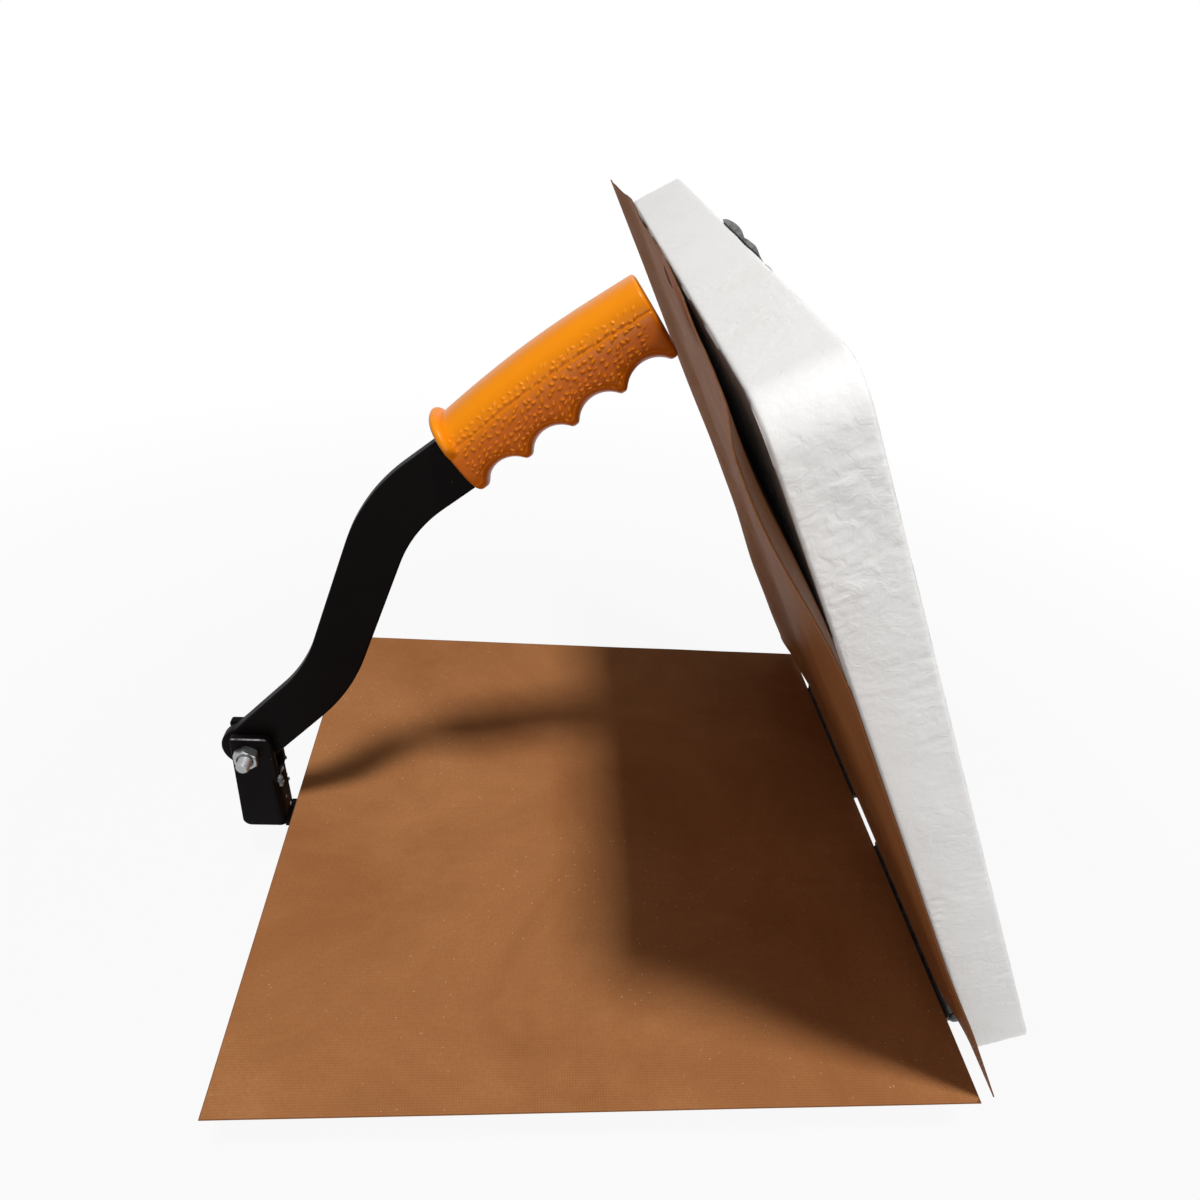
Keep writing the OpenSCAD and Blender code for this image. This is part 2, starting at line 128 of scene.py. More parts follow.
def smooth(low, high, value):
    """0 below low, 1 above high, with a soft step between; low may be the larger."""
    share = np.clip((value - low) / (high - low), 0, 1)
    return share * share * (3 - 2 * share)


def add_piece(name, mesh, body, node, paint, angle=40):
    """Adds a mesh that lies in the part's frame as a piece of the object, in place of a CAD node."""
    piece = bpy.data.objects.new(name, mesh)
    bpy.context.scene.collection.objects.link(piece)
    mesh.shade_smooth()
    mesh.set_sharp_from_angle(angle=math.radians(angle))
    weighted = piece.modifiers.new("normals", "WEIGHTED_NORMAL")
    weighted.keep_sharp = True
    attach(piece, body)
    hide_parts(node)
    mesh.materials.append(paint)
    return piece


def mesh_of(name, bm, at=None):
    """Turns a bmesh into a mesh with outward faces, moved by a matrix."""
    bmesh.ops.remove_doubles(bm, verts=bm.verts, dist=MERGE)
    bmesh.ops.recalc_face_normals(bm, faces=bm.faces)
    mesh = bpy.data.meshes.new(name)
    bm.to_mesh(mesh)
    bm.free()
    if at is not None:
        mesh.transform(at)
        if at.determinant() < 0:
            mesh.flip_normals()
    return mesh


def joined(name, meshes):
    """One mesh from several."""
    bm = bmesh.new()
    for mesh in meshes:
        bm.from_mesh(mesh)
        bpy.data.meshes.remove(mesh)
    mesh = bpy.data.meshes.new(name)
    bm.to_mesh(mesh)
    bm.free()
    return mesh


def area(outline):
    """Signed area of a closed outline."""
    p = np.array(outline)
    q = np.roll(p, -1, axis=0)
    return 0.5 * float((p[:, 0] * q[:, 1] - q[:, 0] * p[:, 1]).sum())


def inset(outline, distance):
    """The outline moved to its left by a distance, corners mitred."""
    p = np.array(outline)
    edge = np.roll(p, -1, axis=0) - p
    edge /= np.linalg.norm(edge, axis=1)[:, None]
    left = np.stack([-edge[:, 1], edge[:, 0]], axis=1)
    before = np.roll(left, 1, axis=0)
    mitre = (left + before) / (1 + (left * before).sum(1))[:, None]
    return p + distance * mitre


def plate(name, outline, thick, round_r, holes=(), at=None, rings=3, wall=0):
    """Flat plate in XY about z = 0 with round edges, rings on its wall, and holes as closed outlines."""
    bm = bmesh.new()
    loops = [outline if area(outline) > 0 else outline[::-1]]
    loops += [hole[::-1] if area(hole) > 0 else hole for hole in holes]
    caps = {1: [], -1: []}
    for loop in loops:
        levels = []
        for side in (1, -1):
            for k in range(rings + 1):
                turn = QUARTER * (1 - k / rings) if side > 0 else QUARTER * k / rings
                moved = inset(loop, round_r * (1 - math.cos(turn)))
                z = side * (thick / 2 - round_r * (1 - math.sin(turn)))
                levels.append([bm.verts.new((x, y, z)) for x, y in moved])
            if side > 0:
                for k in range(1, wall + 1):
                    z = (thick / 2 - round_r) * (1 - 2 * k / (wall + 1))
                    levels.append([bm.verts.new((x, y, z)) for x, y in loop])
        for lower, upper in zip(levels, levels[1:]):
            for i in range(len(loop)):
                j = (i + 1) % len(loop)
                bm.faces.new((lower[i], lower[j], upper[j], upper[i]))
        caps[1].append(levels[0])
        caps[-1].append(levels[-1])
    for rings_of_cap in caps.values():
        edges = [bm.edges.get((r[i], r[(i + 1) % len(r)])) for r in rings_of_cap for i in range(len(r))]
        bmesh.ops.triangle_fill(bm, edges=edges, use_beauty=True)
    return mesh_of(name, bm, at)


def ring(r, z, steps):
    """Points of a level circle about Z."""
    turns = [2 * math.pi * k / steps for k in range(steps)]
    return [(r * math.cos(a), r * math.sin(a), z) for a in turns]


def lathe(name, profile, at=None):
    """Solid of revolution about Z from (radius, height) points, capped at its ends."""
    bm = bmesh.new()
    rows = [[bm.verts.new(p) for p in ring(r, z, ROUND_STEPS)] for r, z in profile]
    for low, high in zip(rows, rows[1:]):
        for i in range(ROUND_STEPS):
            j = (i + 1) % ROUND_STEPS
            bm.faces.new((low[i], low[j], high[j], high[i]))
    for row, (r, _) in ((rows[0], profile[0]), (rows[-1], profile[-1])):
        if r > MERGE_FINE:
            bm.faces.new(row)
    bmesh.ops.remove_doubles(bm, verts=bm.verts, dist=MERGE_FINE)
    bmesh.ops.dissolve_degenerate(bm, edges=bm.edges, dist=MERGE_FINE)
    return mesh_of(name, bm, at)


def tube_of(name, rows, at=None, capped=True, light_tones=None):
    """Skin over closed rows of points, each row a list of 3-D points, with a painted-light tone for each
    point in its crown attribute.
    """
    bm = bmesh.new()
    layer = bm.verts.layers.float.new("crown")
    made = [[bm.verts.new(p) for p in row] for row in rows]
    for row, values in zip(made, light_tones or []):
        for vert, value in zip(row, values):
            vert[layer] = float(value)
    count = len(rows[0])
    for low, high in zip(made, made[1:]):
        for i in range(count):
            j = (i + 1) % count
            bm.faces.new((low[i], low[j], high[j], high[i]))
    if capped:
        for row in (made[0], made[-1]):
            middle = bm.verts.new(sum((v.co for v in row), Vector()) / count)
            for i in range(count):
                bm.faces.new((row[i], row[(i + 1) % count], middle))
    return mesh_of(name, bm, at)


def two_sided(bm, low, high):
    """Faces over two grids of vertices, and over the rim between them."""
    last, end = len(low) - 1, len(low[0]) - 1
    for rows in (low, high):
        for i in range(last):
            for j in range(end):
                bm.faces.new((rows[i][j], rows[i + 1][j], rows[i + 1][j + 1], rows[i][j + 1]))
    rim = [(i, 0) for i in range(last + 1)] + [(last, j) for j in range(1, end + 1)]
    rim += [(i, end) for i in range(last - 1, -1, -1)] + [(0, j) for j in range(end - 1, 0, -1)]
    for (a, b), (c, d) in zip(rim, rim[1:] + rim[:1]):
        bm.faces.new((low[a][b], low[c][d], high[c][d], high[a][b]))


def at_y(x, y, z):
    """Turns a lathe's Z axis to +Y and moves it to a place."""
    return Matrix.Translation((x, y, z)) @ Matrix.Rotation(-QUARTER, 4, "X")


# Materials


class Paint:
    """A material's node tree, with short ways to add the nodes it needs."""

    def __init__(self, name):
        self.made = bpy.data.materials.new(name)
        self.made.use_nodes = True
        self.tree = self.made.node_tree
        self.shader = self.tree.nodes["Principled BSDF"]
        self.place = self.add("ShaderNodeTexCoord", "Object")

    def link(self, source, target):
        self.tree.links.new(source, target)

    def put(self, socket, source):
        """Sets an input by a number, a colour or another node's output."""
        if isinstance(source, bpy.types.NodeSocket):
            self.link(source, socket)
        else:
            socket.default_value = source

    def add(self, kind, result, inputs=(), **settings):
        """Adds a node with its settings and inputs, and gives one of its outputs."""
        made = self.tree.nodes.new(kind)
        for key, value in settings.items():
            setattr(made, key, value)
        for key, source in dict(inputs).items():
            self.put(made.inputs[key], source)
        return made.outputs[result]

    def attribute(self, name):
        return self.add("ShaderNodeAttribute", "Vector", attribute_name=name)

    def attribute_number(self, name):
        return self.add("ShaderNodeAttribute", "Fac", attribute_name=name)

    def scaled(self, vector, scale):
        return self.add("ShaderNodeMapping", "Vector", {"Vector": vector, "Scale": scale})

    def noise(self, scale, detail=4.0, roughness=0.5, distortion=0.0, vector=None):
        inputs = {"Vector": vector or self.place, "Scale": scale, "Detail": detail}
        inputs.update({"Roughness": roughness, "Distortion": distortion})
        return self.add("ShaderNodeTexNoise", "Fac", inputs)

    def cells(self, scale, vector=None):
        return self.add("ShaderNodeTexVoronoi", "Distance", {"Vector": vector or self.place, "Scale": scale})

    def wave(self, scale, direction, vector, distortion):
        inputs = {"Vector": vector, "Scale": scale, "Distortion": distortion}
        return self.add("ShaderNodeTexWave", "Fac", inputs, bands_direction=direction)

    def ramp(self, source, low, high, start=0.0, end=1.0):
        """Maps a range of values to another, held at its ends."""
        inputs = {"Value": source, "From Min": low, "From Max": high, "To Min": start, "To Max": end}
        return self.add("ShaderNodeMapRange", "Result", inputs)

    def maths(self, operation, a, b):
        return self.add("ShaderNodeMath", "Value", {0: a, 1: b}, operation=operation)

    def mixed(self, share, a, b):
        """Colour between two others."""
        return self.add("ShaderNodeMix", "Result", {"Factor": share, "A": a, "B": b}, data_type="RGBA")

    def bump(self, height, distance, strength, after=None):
        """Normal of a height in metres, on top of another normal."""
        inputs = {"Height": height, "Distance": distance, "Strength": strength}
        if after is not None:
            inputs["Normal"] = after
        return self.add("ShaderNodeBump", "Normal", inputs)

    def finish(self, colour, roughness, normal=None, **numbers):
        """Links colour, roughness and normal, and sets plain numbers on the shader."""
        inputs = self.shader.inputs
        self.put(inputs["Base Color"], colour)
        self.put(inputs["Roughness"], roughness)
        if normal is not None:
            self.link(normal, inputs["Normal"])
        for name, value in numbers.items():
            inputs[name.replace("_", " ").title().replace("Ior", "IOR")].default_value = value
        return self.made


def white_board_paint():
    """White paint on board: fine leathery wrinkles and faint yellowing."""
    p = Paint("white_board")
    mottle = p.noise(14, 3, 0.6)
    stain_and_shade = p.ramp(p.noise(32, 4, 0.65), 0.56, 0.78)
    colour = p.mixed(mottle, (0.84, 0.826, 0.808, 1), (0.89, 0.881, 0.868, 1))
    colour = p.mixed(p.maths("MULTIPLY", stain_and_shade, 0.25), colour, (0.72, 0.67, 0.58, 1))
    wrinkle = p.noise(230, 5, 0.55, 1.0)
    grain = p.noise(620, 3, 0.5)
    patches = p.ramp(p.noise(22, 2, 0.5), 0.35, 0.65, 0.25, 1.0)
    normal = p.bump(p.maths("MULTIPLY", wrinkle, patches), 0.7 * MM, 0.6)
    normal = p.bump(grain, 0.2 * MM, 0.35, normal)
    return p.finish(colour, p.ramp(grain, 0.3, 0.7, 0.42, 0.58), normal, specular_ior_level=0.4)


def sheet_paint():
    """Brown non-stick coated glass cloth: fine weave, uneven coating, a few flour specks."""
    p = Paint("nonstick_sheet")
    flat = p.attribute("flat")
    weave = p.maths("MULTIPLY", p.wave(300, "X", flat, 0.4), p.wave(300, "Y", flat, 0.4))
    cloud = p.ramp(p.noise(11, 5, 0.65, 0.6, flat), 0.32, 0.68)
    streak = p.noise(30, 3, 0.5, 0, p.scaled(flat, (1.0, 7.0, 1.0)))
    grain = p.ramp(p.noise(650, 3, 0.6, 0, flat), 0.3, 0.7, 0.0, 0.35)
    colour = p.mixed(cloud, (0.365, 0.138, 0.045, 1), (0.555, 0.242, 0.092, 1))
    colour = p.mixed(p.maths("MULTIPLY", streak, 0.35), colour, (0.38, 0.150, 0.052, 1))
    colour = p.mixed(grain, colour, (0.30, 0.112, 0.038, 1))
    colour = p.mixed(p.ramp(weave, 0.0, 1.0, 0.0, 0.25), colour, (0.60, 0.30, 0.14, 1))
    speck = p.ramp(p.cells(260, flat), 0.11, 0.05)
    dusty = p.ramp(p.noise(9, 3, 0.6, 0, flat), 0.44, 0.60)
    dust = p.maths("MULTIPLY", p.maths("MULTIPLY", speck, dusty), 0.6)
    colour = p.mixed(dust, colour, (0.80, 0.66, 0.47, 1))
    # Darker along the rim of each sheet
    cut = p.ramp(p.attribute_number("rim"), 0.75, 1.0)
    colour = p.mixed(cut, colour, (0.24, 0.094, 0.036, 1))
    # Painted shade: the upper sheet's side against the lid turns a near-black brown
    colour = p.mixed(p.attribute_number("stain_and_shade"), colour, (0.045, 0.018, 0.009, 1))
    normal = p.bump(weave, 0.06 * MM, 0.6)
    normal = p.bump(p.noise(60, 3, 0.5, 0, flat), 0.5 * MM, 0.25, normal)
    rough = p.ramp(p.noise(70, 4, 0.6, 0, flat), 0.3, 0.7, 0.46, 0.60)
    return p.finish(colour, rough, normal, specular_ior_level=0.03)


def black_paint():
    """Black paint over hot-rolled steel: orange peel, dust and small chips."""
    p = Paint("black_steel")
    chips = p.ramp(p.cells(230), 0.06, 0.03)
    chips = p.maths("MULTIPLY", chips, p.ramp(p.noise(45, 3), 0.55, 0.62))
    cloud = p.noise(40, 4, 0.6)
    colour = p.mixed(cloud, (0.0022, 0.0015, 0.0015, 1), (0.0050, 0.0036, 0.0035, 1))
    colour = p.mixed(p.maths("MULTIPLY", chips, 0.5), colour, (0.20, 0.19, 0.18, 1))
    # Painted highlight and glints: bare grey along the near cheek's top edge, drawn as paint rubbed off
    # there, and on the weld lumps
    bare = p.maths("MULTIPLY", p.attribute_number("wear_and_glint"), p.ramp(p.noise(300, 3), 0.35, 0.6, 0.15, 0.8))
    colour = p.mixed(bare, colour, (0.45, 0.45, 0.46, 1))
    normal = p.bump(p.noise(420, 3, 0.5), 0.12 * MM, 0.3)
    normal = p.bump(p.noise(38, 2, 0.5), 0.5 * MM, 0.25, normal)
    return p.finish(colour, p.ramp(cloud, 0.3, 0.7, 0.36, 0.50), normal, specular_ior_level=0.035)


def zinc_paint():
    """Zinc-plated steel with fine scratches and uneven gloss."""
    p = Paint("zinc_steel")
    cloud = p.noise(220, 5, 0.65)
    fine = p.noise(1100, 3, 0.6, 0, p.scaled(p.place, (0.2, 1.0, 1.0)))
    colour = p.mixed(cloud, (0.30, 0.31, 0.32, 1), (0.46, 0.47, 0.47, 1))
    normal = p.bump(fine, 0.05 * MM, 0.3)
    return p.finish(colour, p.ramp(cloud, 0.3, 0.7, 0.28, 0.42), normal, metallic=1.0)


def hinge_paint():
    """Blackened hinge steel, rubbed brighter in places."""
    p = Paint("hinge_steel")
    rub = p.ramp(p.noise(120, 5, 0.65), 0.45, 0.7)
    colour = p.mixed(rub, (0.030, 0.029, 0.030, 1), (0.13, 0.125, 0.125, 1))
    normal = p.bump(p.noise(700, 3, 0.5), 0.08 * MM, 0.3)
    return p.finish(colour, p.ramp(rub, 0.0, 1.0, 0.5, 0.34), normal, metallic=0.75)


def strike_paint():
    """Dark grey worn steel."""
    p = Paint("strike_steel")
    wear = p.ramp(p.noise(90, 5, 0.7), 0.42, 0.68)
    colour = p.mixed(wear, (0.040, 0.040, 0.043, 1), (0.22, 0.22, 0.225, 1))
    normal = p.bump(p.noise(500, 4, 0.6), 0.1 * MM, 0.4)
    return p.finish(colour, p.ramp(wear, 0.0, 1.0, 0.55, 0.4), normal, metallic=0.6)


def grip_paint():
    """Orange moulded vinyl, slightly mottled, with painted light: a lit orange on the crown and on the tops
    of the raised dashes, a darker shaded orange on the pebbled sides.
    """
    p = Paint("orange_grip")
    cloud = p.noise(70, 4, 0.6)
    # Painted light and shade: side is the shaded orange and crown the lit orange of the same vinyl
    side = p.mixed(cloud, (0.48, 0.096, 0.002, 1), (0.56, 0.122, 0.003, 1))
    crown = p.mixed(cloud, (0.88, 0.262, 0.002, 1), (0.94, 0.300, 0.003, 1))
    colour = p.mixed(p.attribute_number("crown"), side, crown)
    normal = p.bump(p.noise(900, 3, 0.5), 0.06 * MM, 0.3)
    rough = p.ramp(cloud, 0.3, 0.7, 0.26, 0.34)
    return p.finish(colour, rough, normal, specular_ior_level=0.16)


def rubber_paint():
    """Dusty black rubber."""
    p = Paint("foot_rubber")
    dust = p.noise(160, 4, 0.65)
    colour = p.mixed(dust, (0.022, 0.022, 0.023, 1), (0.050, 0.049, 0.047, 1))
    normal = p.bump(p.noise(800, 3, 0.5), 0.08 * MM, 0.4)
    return p.finish(colour, p.ramp(dust, 0.3, 0.7, 0.7, 0.85), normal)


def tack_paint():
    """Dark lacquered tack."""
    p = Paint("tack_metal")
    wear_and_glint = p.noise(400, 4, 0.6)
    colour = p.mixed(wear_and_glint, (0.150, 0.060, 0.028, 1), (0.250, 0.110, 0.055, 1))
    normal = p.bump(wear_and_glint, 0.08 * MM, 0.3)
    return p.finish(colour, p.ramp(wear_and_glint, 0.3, 0.7, 0.6, 0.75), normal, specular_ior_level=0.05)


WHITE = white_board_paint()
CLOTH = sheet_paint()
BLACK = black_paint()
ZINC = zinc_paint()
HINGE = hinge_paint()
STRIKE = strike_paint()
ORANGE = grip_paint()
RUBBER = rubber_paint()
TACK = tack_paint()

# Boards

EDGE_R, SKIN_STEP, SKIN_RINGS = 1.2 * MM, 0.9 * MM, 21
# Wrinkles and swell of the painted skin: how deep, and how long their patches are in mm
WRINKLE, SWELL = 0.18 * MM, 0.35 * MM
PATCH_L, SWELL_L = 34, 17
BASE_SEED, LID_SEED = 0, 700


def board_outline():
    """Plan of a board: square at the hinge, rounded at the front."""
    inner = HALF_W - FRONT_R
    points = [np.array([BACK, -HALF_W]), np.array([BACK, HALF_W])]
    points += arc((FRONT + FRONT_R, inner), FRONT_R, QUARTER, math.pi, 12)
    points += arc((FRONT + FRONT_R, -inner), FRONT_R, math.pi, 3 * QUARTER, 12)
    return points


def finely(outline, step):
    """The closed outline with points added at about a step along it."""
    points = []
    for a, b in zip(outline, outline[1:] + outline[:1]):
        parts = max(1, int(np.linalg.norm(b - a) / step))
        points += [a + (b - a) * k / parts for k in range(parts)]
    return points


def wrinkled(mesh, seed):
    """Wrinkles the painted skin round a board's edge, in patches."""
    normals = [v.normal.copy() for v in mesh.vertices]
    for vert, normal in zip(mesh.vertices, normals):
        if abs(normal.z) > 0.9:
            continue
        at = vert.co / MM + Vector((seed, 0, 0))
        patch = smooth(-0.25, 0.35, noise.noise(at / PATCH_L))
        fold = noise.noise(Vector((at.x / 2.3, at.y / 2.3, at.z / 4.6)))
        fold += 0.6 * noise.noise(Vector((at.x / 1.3, at.y / 1.3, at.z / 2.2)))
        swell = noise.noise(at / SWELL_L)
        patch *= 0.25 + 0.75 * abs(normal.y)
        vert.co += normal * (WRINKLE * patch * (fold - 0.5) + SWELL * (swell - 0.5))


def board_mesh(name, seed, at):
    """A board with soft edges and a wrinkled skin."""
    mesh = plate(name, finely(board_outline(), SKIN_STEP), BOARD_T, EDGE_R, wall=SKIN_RINGS)
    wrinkled(mesh, seed)
    mesh.transform(at)
    return mesh


def boards():
    """Base and lid boards."""
    mesh = board_mesh("base", BASE_SEED, Matrix.Translation((0, 0, BASE_TOP - BOARD_T / 2)))
    add_piece("base_plank", mesh, "base", "base_board", WHITE)
    mesh = board_mesh("lid", LID_SEED, LID @ Matrix.Translation((0, 0, LID_Z + BOARD_T / 2)))
    add_piece("lid_plank", mesh, "lid", "lid_board", WHITE)


# Sheets

SHEET_STEPS = 150
# The first number is how dark the painted shade is on the upper sheet's side against the lid
UPPER_BACK_SHADE, UPPER_KEEP = 0.92, 0.12
NEAR_CURL, NEAR_BOW = 5.1 * MM, 1.4 * MM
FAR_BOW, FAR_BULGE = 4.2 * MM, 3.8 * MM
FOLD_BOW, FOLD_BOW_FAR = 3.2 * MM, 2.6 * MM
WAVE, LOWER_WAVE, LOWER_FADE = 1.1 * MM, 0.25 * MM, 15 * MM
STRAY, STRAY_FINE, STRAY_CORNER, STRAY_FADE = 1.3 * MM, 0.7 * MM, 5.0 * MM, 22 * MM


def sheet_mesh(name, height, at, stray=None, back_shade=0.0):
    """Thin sheet over the flat cut: height off its board, stray of its points, painted shade on its upper
    side, which on the upper sheet lies against the lid.
    """
    xs = np.linspace(SHEET_LO.x, SHEET_HI.x, SHEET_STEPS)
    ys = np.linspace(SHEET_LO.y, SHEET_HI.y, SHEET_STEPS)
    bm = bmesh.new()
    flat_layer = bm.verts.layers.float_vector.new("flat")
    rim_layer = bm.verts.layers.float.new("rim")
    shade_layer = bm.verts.layers.float.new("stain_and_shade")
    sides = []
    for level in (0.0, 1.0):
        rows = []
        for x in xs:
            row = []
            for y in ys:
                moved = x + stray(x, y) if stray else x
                vert = bm.verts.new((moved, y, height(x, y) + level * SHEET_T))
                vert[flat_layer] = (x, y, 0.0)
                vert[rim_layer] = float(x in (xs[0], xs[-1]) or y in (ys[0], ys[-1]))
                vert[shade_layer] = level * back_shade
                row.append(vert)
            rows.append(row)
        sides.append(rows)
    two_sided(bm, *sides)
    return mesh_of(name, bm, at)


def lower_height(x, y):
    """Lies on the base, a hair uneven past its sides."""
    past = max(0.0, abs(y) - HALF_W)
    ripple = LOWER_WAVE * noise.noise((x * 22, y * 22, 3.0))
    return ripple * smooth(0, 1, past / LOWER_FADE)


def upper_height(x, y):
    """Lies on the lid; corners curl off it, edges wave and the fold bows. Up is into the lid."""
    # Forms fade over stretches in mm from the lid's front edge, its back edge and its middle line
    front, back, side = (x - FRONT) / MM, (BACK - x) / MM, y / MM
    near = min(1.0, max(0.0, (20 - side) / 170)) ** 1.8
    curl = NEAR_CURL * smooth(68, 6, front) * near
    curl += NEAR_BOW * smooth(-HALF_W + 6 * MM, SHEET_LO.y, y) * smooth(50, 110, back)
    far = smooth(114 * MM, SHEET_HI.y, y) * smooth(0, 16, back)
    curl += FAR_BOW * far + FAR_BULGE * far * smooth(135, 60, back)
    rim = smooth(40, 0, front) * smooth(110, 60, side)
    rim += smooth(HALF_W - 35 * MM, HALF_W + 10 * MM, y) * smooth(30, 70, front)
    ripple = WAVE * (0.5 + 0.5 * noise.noise((x * 30, y * 24, 8.0))) * min(1.0, rim)
    ripple *= smooth(0, 40, back)
    clear = 1 - smooth(30, 14, abs(side)) * smooth(10, 30, front)
    bow = FOLD_BOW * smooth(-130, -95, side) + FOLD_BOW_FAR * smooth(105, 140, side)
    return -(curl + ripple) * clear - bow * smooth(18, 0, back)


def ragged(x, y):
    """How far the upper sheet's hand-cut front edge strays along the lid."""
    stray = STRAY * noise.noise((y * 42, 0.0, 5.0)) + STRAY_FINE * noise.noise((y * 120, 0.0, 9.0))
    corner = STRAY_CORNER * smooth(112 * MM, SHEET_HI.y, y)
    return -(stray + corner) * smooth(FRONT + STRAY_FADE, SHEET_LO.x, x)


def sheets():
    """Both non-stick sheets, at the size they were cut to."""
    mesh = sheet_mesh("lower", lower_height, Matrix.Translation((0, 0, BASE_TOP)))
    lower = add_piece("lower_cloth", mesh, "base", "lower_sheet", CLOTH)
    at = LID @ Matrix.Translation((0, 0, LID_Z - SHEET_T))
    mesh = sheet_mesh("upper", upper_height, at, ragged, UPPER_BACK_SHADE)
    upper = add_piece("upper_cloth", mesh, "lid", "upper_sheet", CLOTH)
    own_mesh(upper)


# Lever

# The bends are drawn out longer than in the part's source, and the eye reaches a little past its bolt
LOW_R, TOP_BEND_R, EYE_OUT, BAR_ROUND = 85 * MM, 68 * MM, 1.8 * MM, 0.9 * MM
TRIM_LOW = LOW_R * math.tan((SLOPE_MID - SLOPE_LOW) / 2)
TRIM_TOP = TOP_BEND_R * math.tan((SLOPE_MID - SLOPE_TOP) / 2)


def to_lid(vector):
    """Distance that a step in the lever's plane goes towards the open lid's inner face."""
    return vector[0] * math.sin(OPEN) + vector[1] * math.cos(OPEN)


SHEET_DEPTH = to_lid((AXIS.x - PIVOT.x, AXIS.z - PIVOT.z)) + AXIS.z - SHEET_HI.z
TOP_DEPTH = RUN_LOW * to_lid(along(SLOPE_LOW)) + (RUN_TOP + GRIP_L) * to_lid(along(SLOPE_TOP))
EDGE_DEPTH = (GRIP_RISE - GRIP_H / 2) * to_lid(along(SLOPE_TOP + QUARTER))
RUN_MID = (SHEET_DEPTH - GRIP_GAP - TOP_DEPTH - EDGE_DEPTH) / to_lid(along(SLOPE_MID))
CORNER_LOW = RUN_LOW * along(SLOPE_LOW)
CORNER_TOP = CORNER_LOW + RUN_MID * along(SLOPE_MID)
GRIP_START = CORNER_TOP + RUN_TOP * along(SLOPE_TOP)
CENTRE_LOW = CORNER_LOW - TRIM_LOW * along(SLOPE_LOW) + LOW_R * along(SLOPE_LOW + QUARTER)
CENTRE_TOP = CORNER_TOP - TRIM_TOP * along(SLOPE_MID) - TOP_BEND_R * along(SLOPE_MID + QUARTER)


def bar_side(side):
    """One side of the bent bar from its eye to the end of its tang; side is 1 or -1."""
    out = side * BAR_W / 2
    eye_turn = math.asin(BAR_W / 2 / EYE_R)
    eye = -EYE_OUT * along(SLOPE_LOW)
    points = arc(eye, EYE_R, SLOPE_LOW + side * math.pi, SLOPE_LOW + side * eye_turn, 24)
    points += arc(CENTRE_LOW, LOW_R - out, SLOPE_LOW - QUARTER, SLOPE_MID - QUARTER, 20)
    points += arc(CENTRE_TOP, TOP_BEND_R + out, SLOPE_MID + QUARTER, SLOPE_TOP + QUARTER, 20)
    for far, width in ((0, BAR_W), (0, TANG_W), (TANG_L, TANG_W)):
        points.append(GRIP_START + far * along(SLOPE_TOP) + side * width / 2 * along(SLOPE_TOP + QUARTER))
    return points


def lever_bar():
    """Flat bar with its edges rounded by the mill."""
    outline = bar_side(1) + bar_side(-1)[:0:-1]
    hole = circle((0, 0), BUSH_D / 2 + 0.05 * MM)
    mesh = plate("bar", outline, BAR_T, BAR_ROUND, [hole], LEVER)
    add_piece("lever_flat_bar", mesh, "lever", "lever_bar", BLACK)


# Grip: grooves, section, raised dashes (shape in cells), seam, border, swell, round ends, rolled lip
TIP_L, END_L, RIDGE_W, RIDGE_SOFT = 2.5 * MM, 1.8 * MM, 2.4 * MM, 0.35 * MM
GRIP_POWER = 2.6
PEBBLE_STEP, PEBBLE_H, PEBBLE_SEED, PEBBLE_CELLS = 2.7 * MM, 0.48 * MM, 11, 64
DASH_L, DASH_MORE, DASH_W, DASH_LEAN = 0.29, 0.11, 0.165, 2.2
SEAM_UP, SEAM_DEEP, SEAM_W = 6.0 * MM, 0.40 * MM, 0.55 * MM
BORDER, BORDER_H = 4.6 * MM, 0.30 * MM
SWELL_UP, SWELL_DROP = 2.2 * MM, 1.4 * MM
END_ROUND, LIP_R, LIP_MORE = 1.4 * MM, 2.2 * MM, 0.6 * MM
GRIP_ROWS, GRIP_POINTS = 340, 300


def groove_depth(u):
    """Depth of the finger grooves at a distance along the grip, with blunt, soft ridges between them."""
    step = (GRIP_L - TIP_L - END_L) / GROOVES
    half = (step - RIDGE_W) / 2
    radius = (half * half + GROOVE_DEEP * GROOVE_DEEP) / (2 * GROOVE_DEEP)
    number = min(GROOVES - 1, max(0, int((u - TIP_L) / step)))
    away = u - TIP_L - (number + 0.5) * step
    depth = math.sqrt(max(0.0, radius * radius - away * away)) - (radius - GROOVE_DEEP)
    return (depth + math.sqrt(depth * depth + 4 * RIDGE_SOFT * RIDGE_SOFT)) / 2


def section(count):
    """Points round the grip's plain section, evenly spaced: how far aside, how far up and how far round."""
    fine = np.linspace(0, 2 * math.pi, 4000)
    c, s = np.cos(fine), np.sin(fine)
    size = (np.abs(c) ** GRIP_POWER + np.abs(s) ** GRIP_POWER) ** (-1 / GRIP_POWER)
    side, up = GRIP_T / 2 * size * c, GRIP_H / 2 * size * s
    run = np.concatenate([[0], np.cumsum(np.hypot(np.diff(side), np.diff(up)))])
    at = np.linspace(0, run[-1], count, endpoint=False)
    return np.interp(at, run, side), np.interp(at, run, up), at


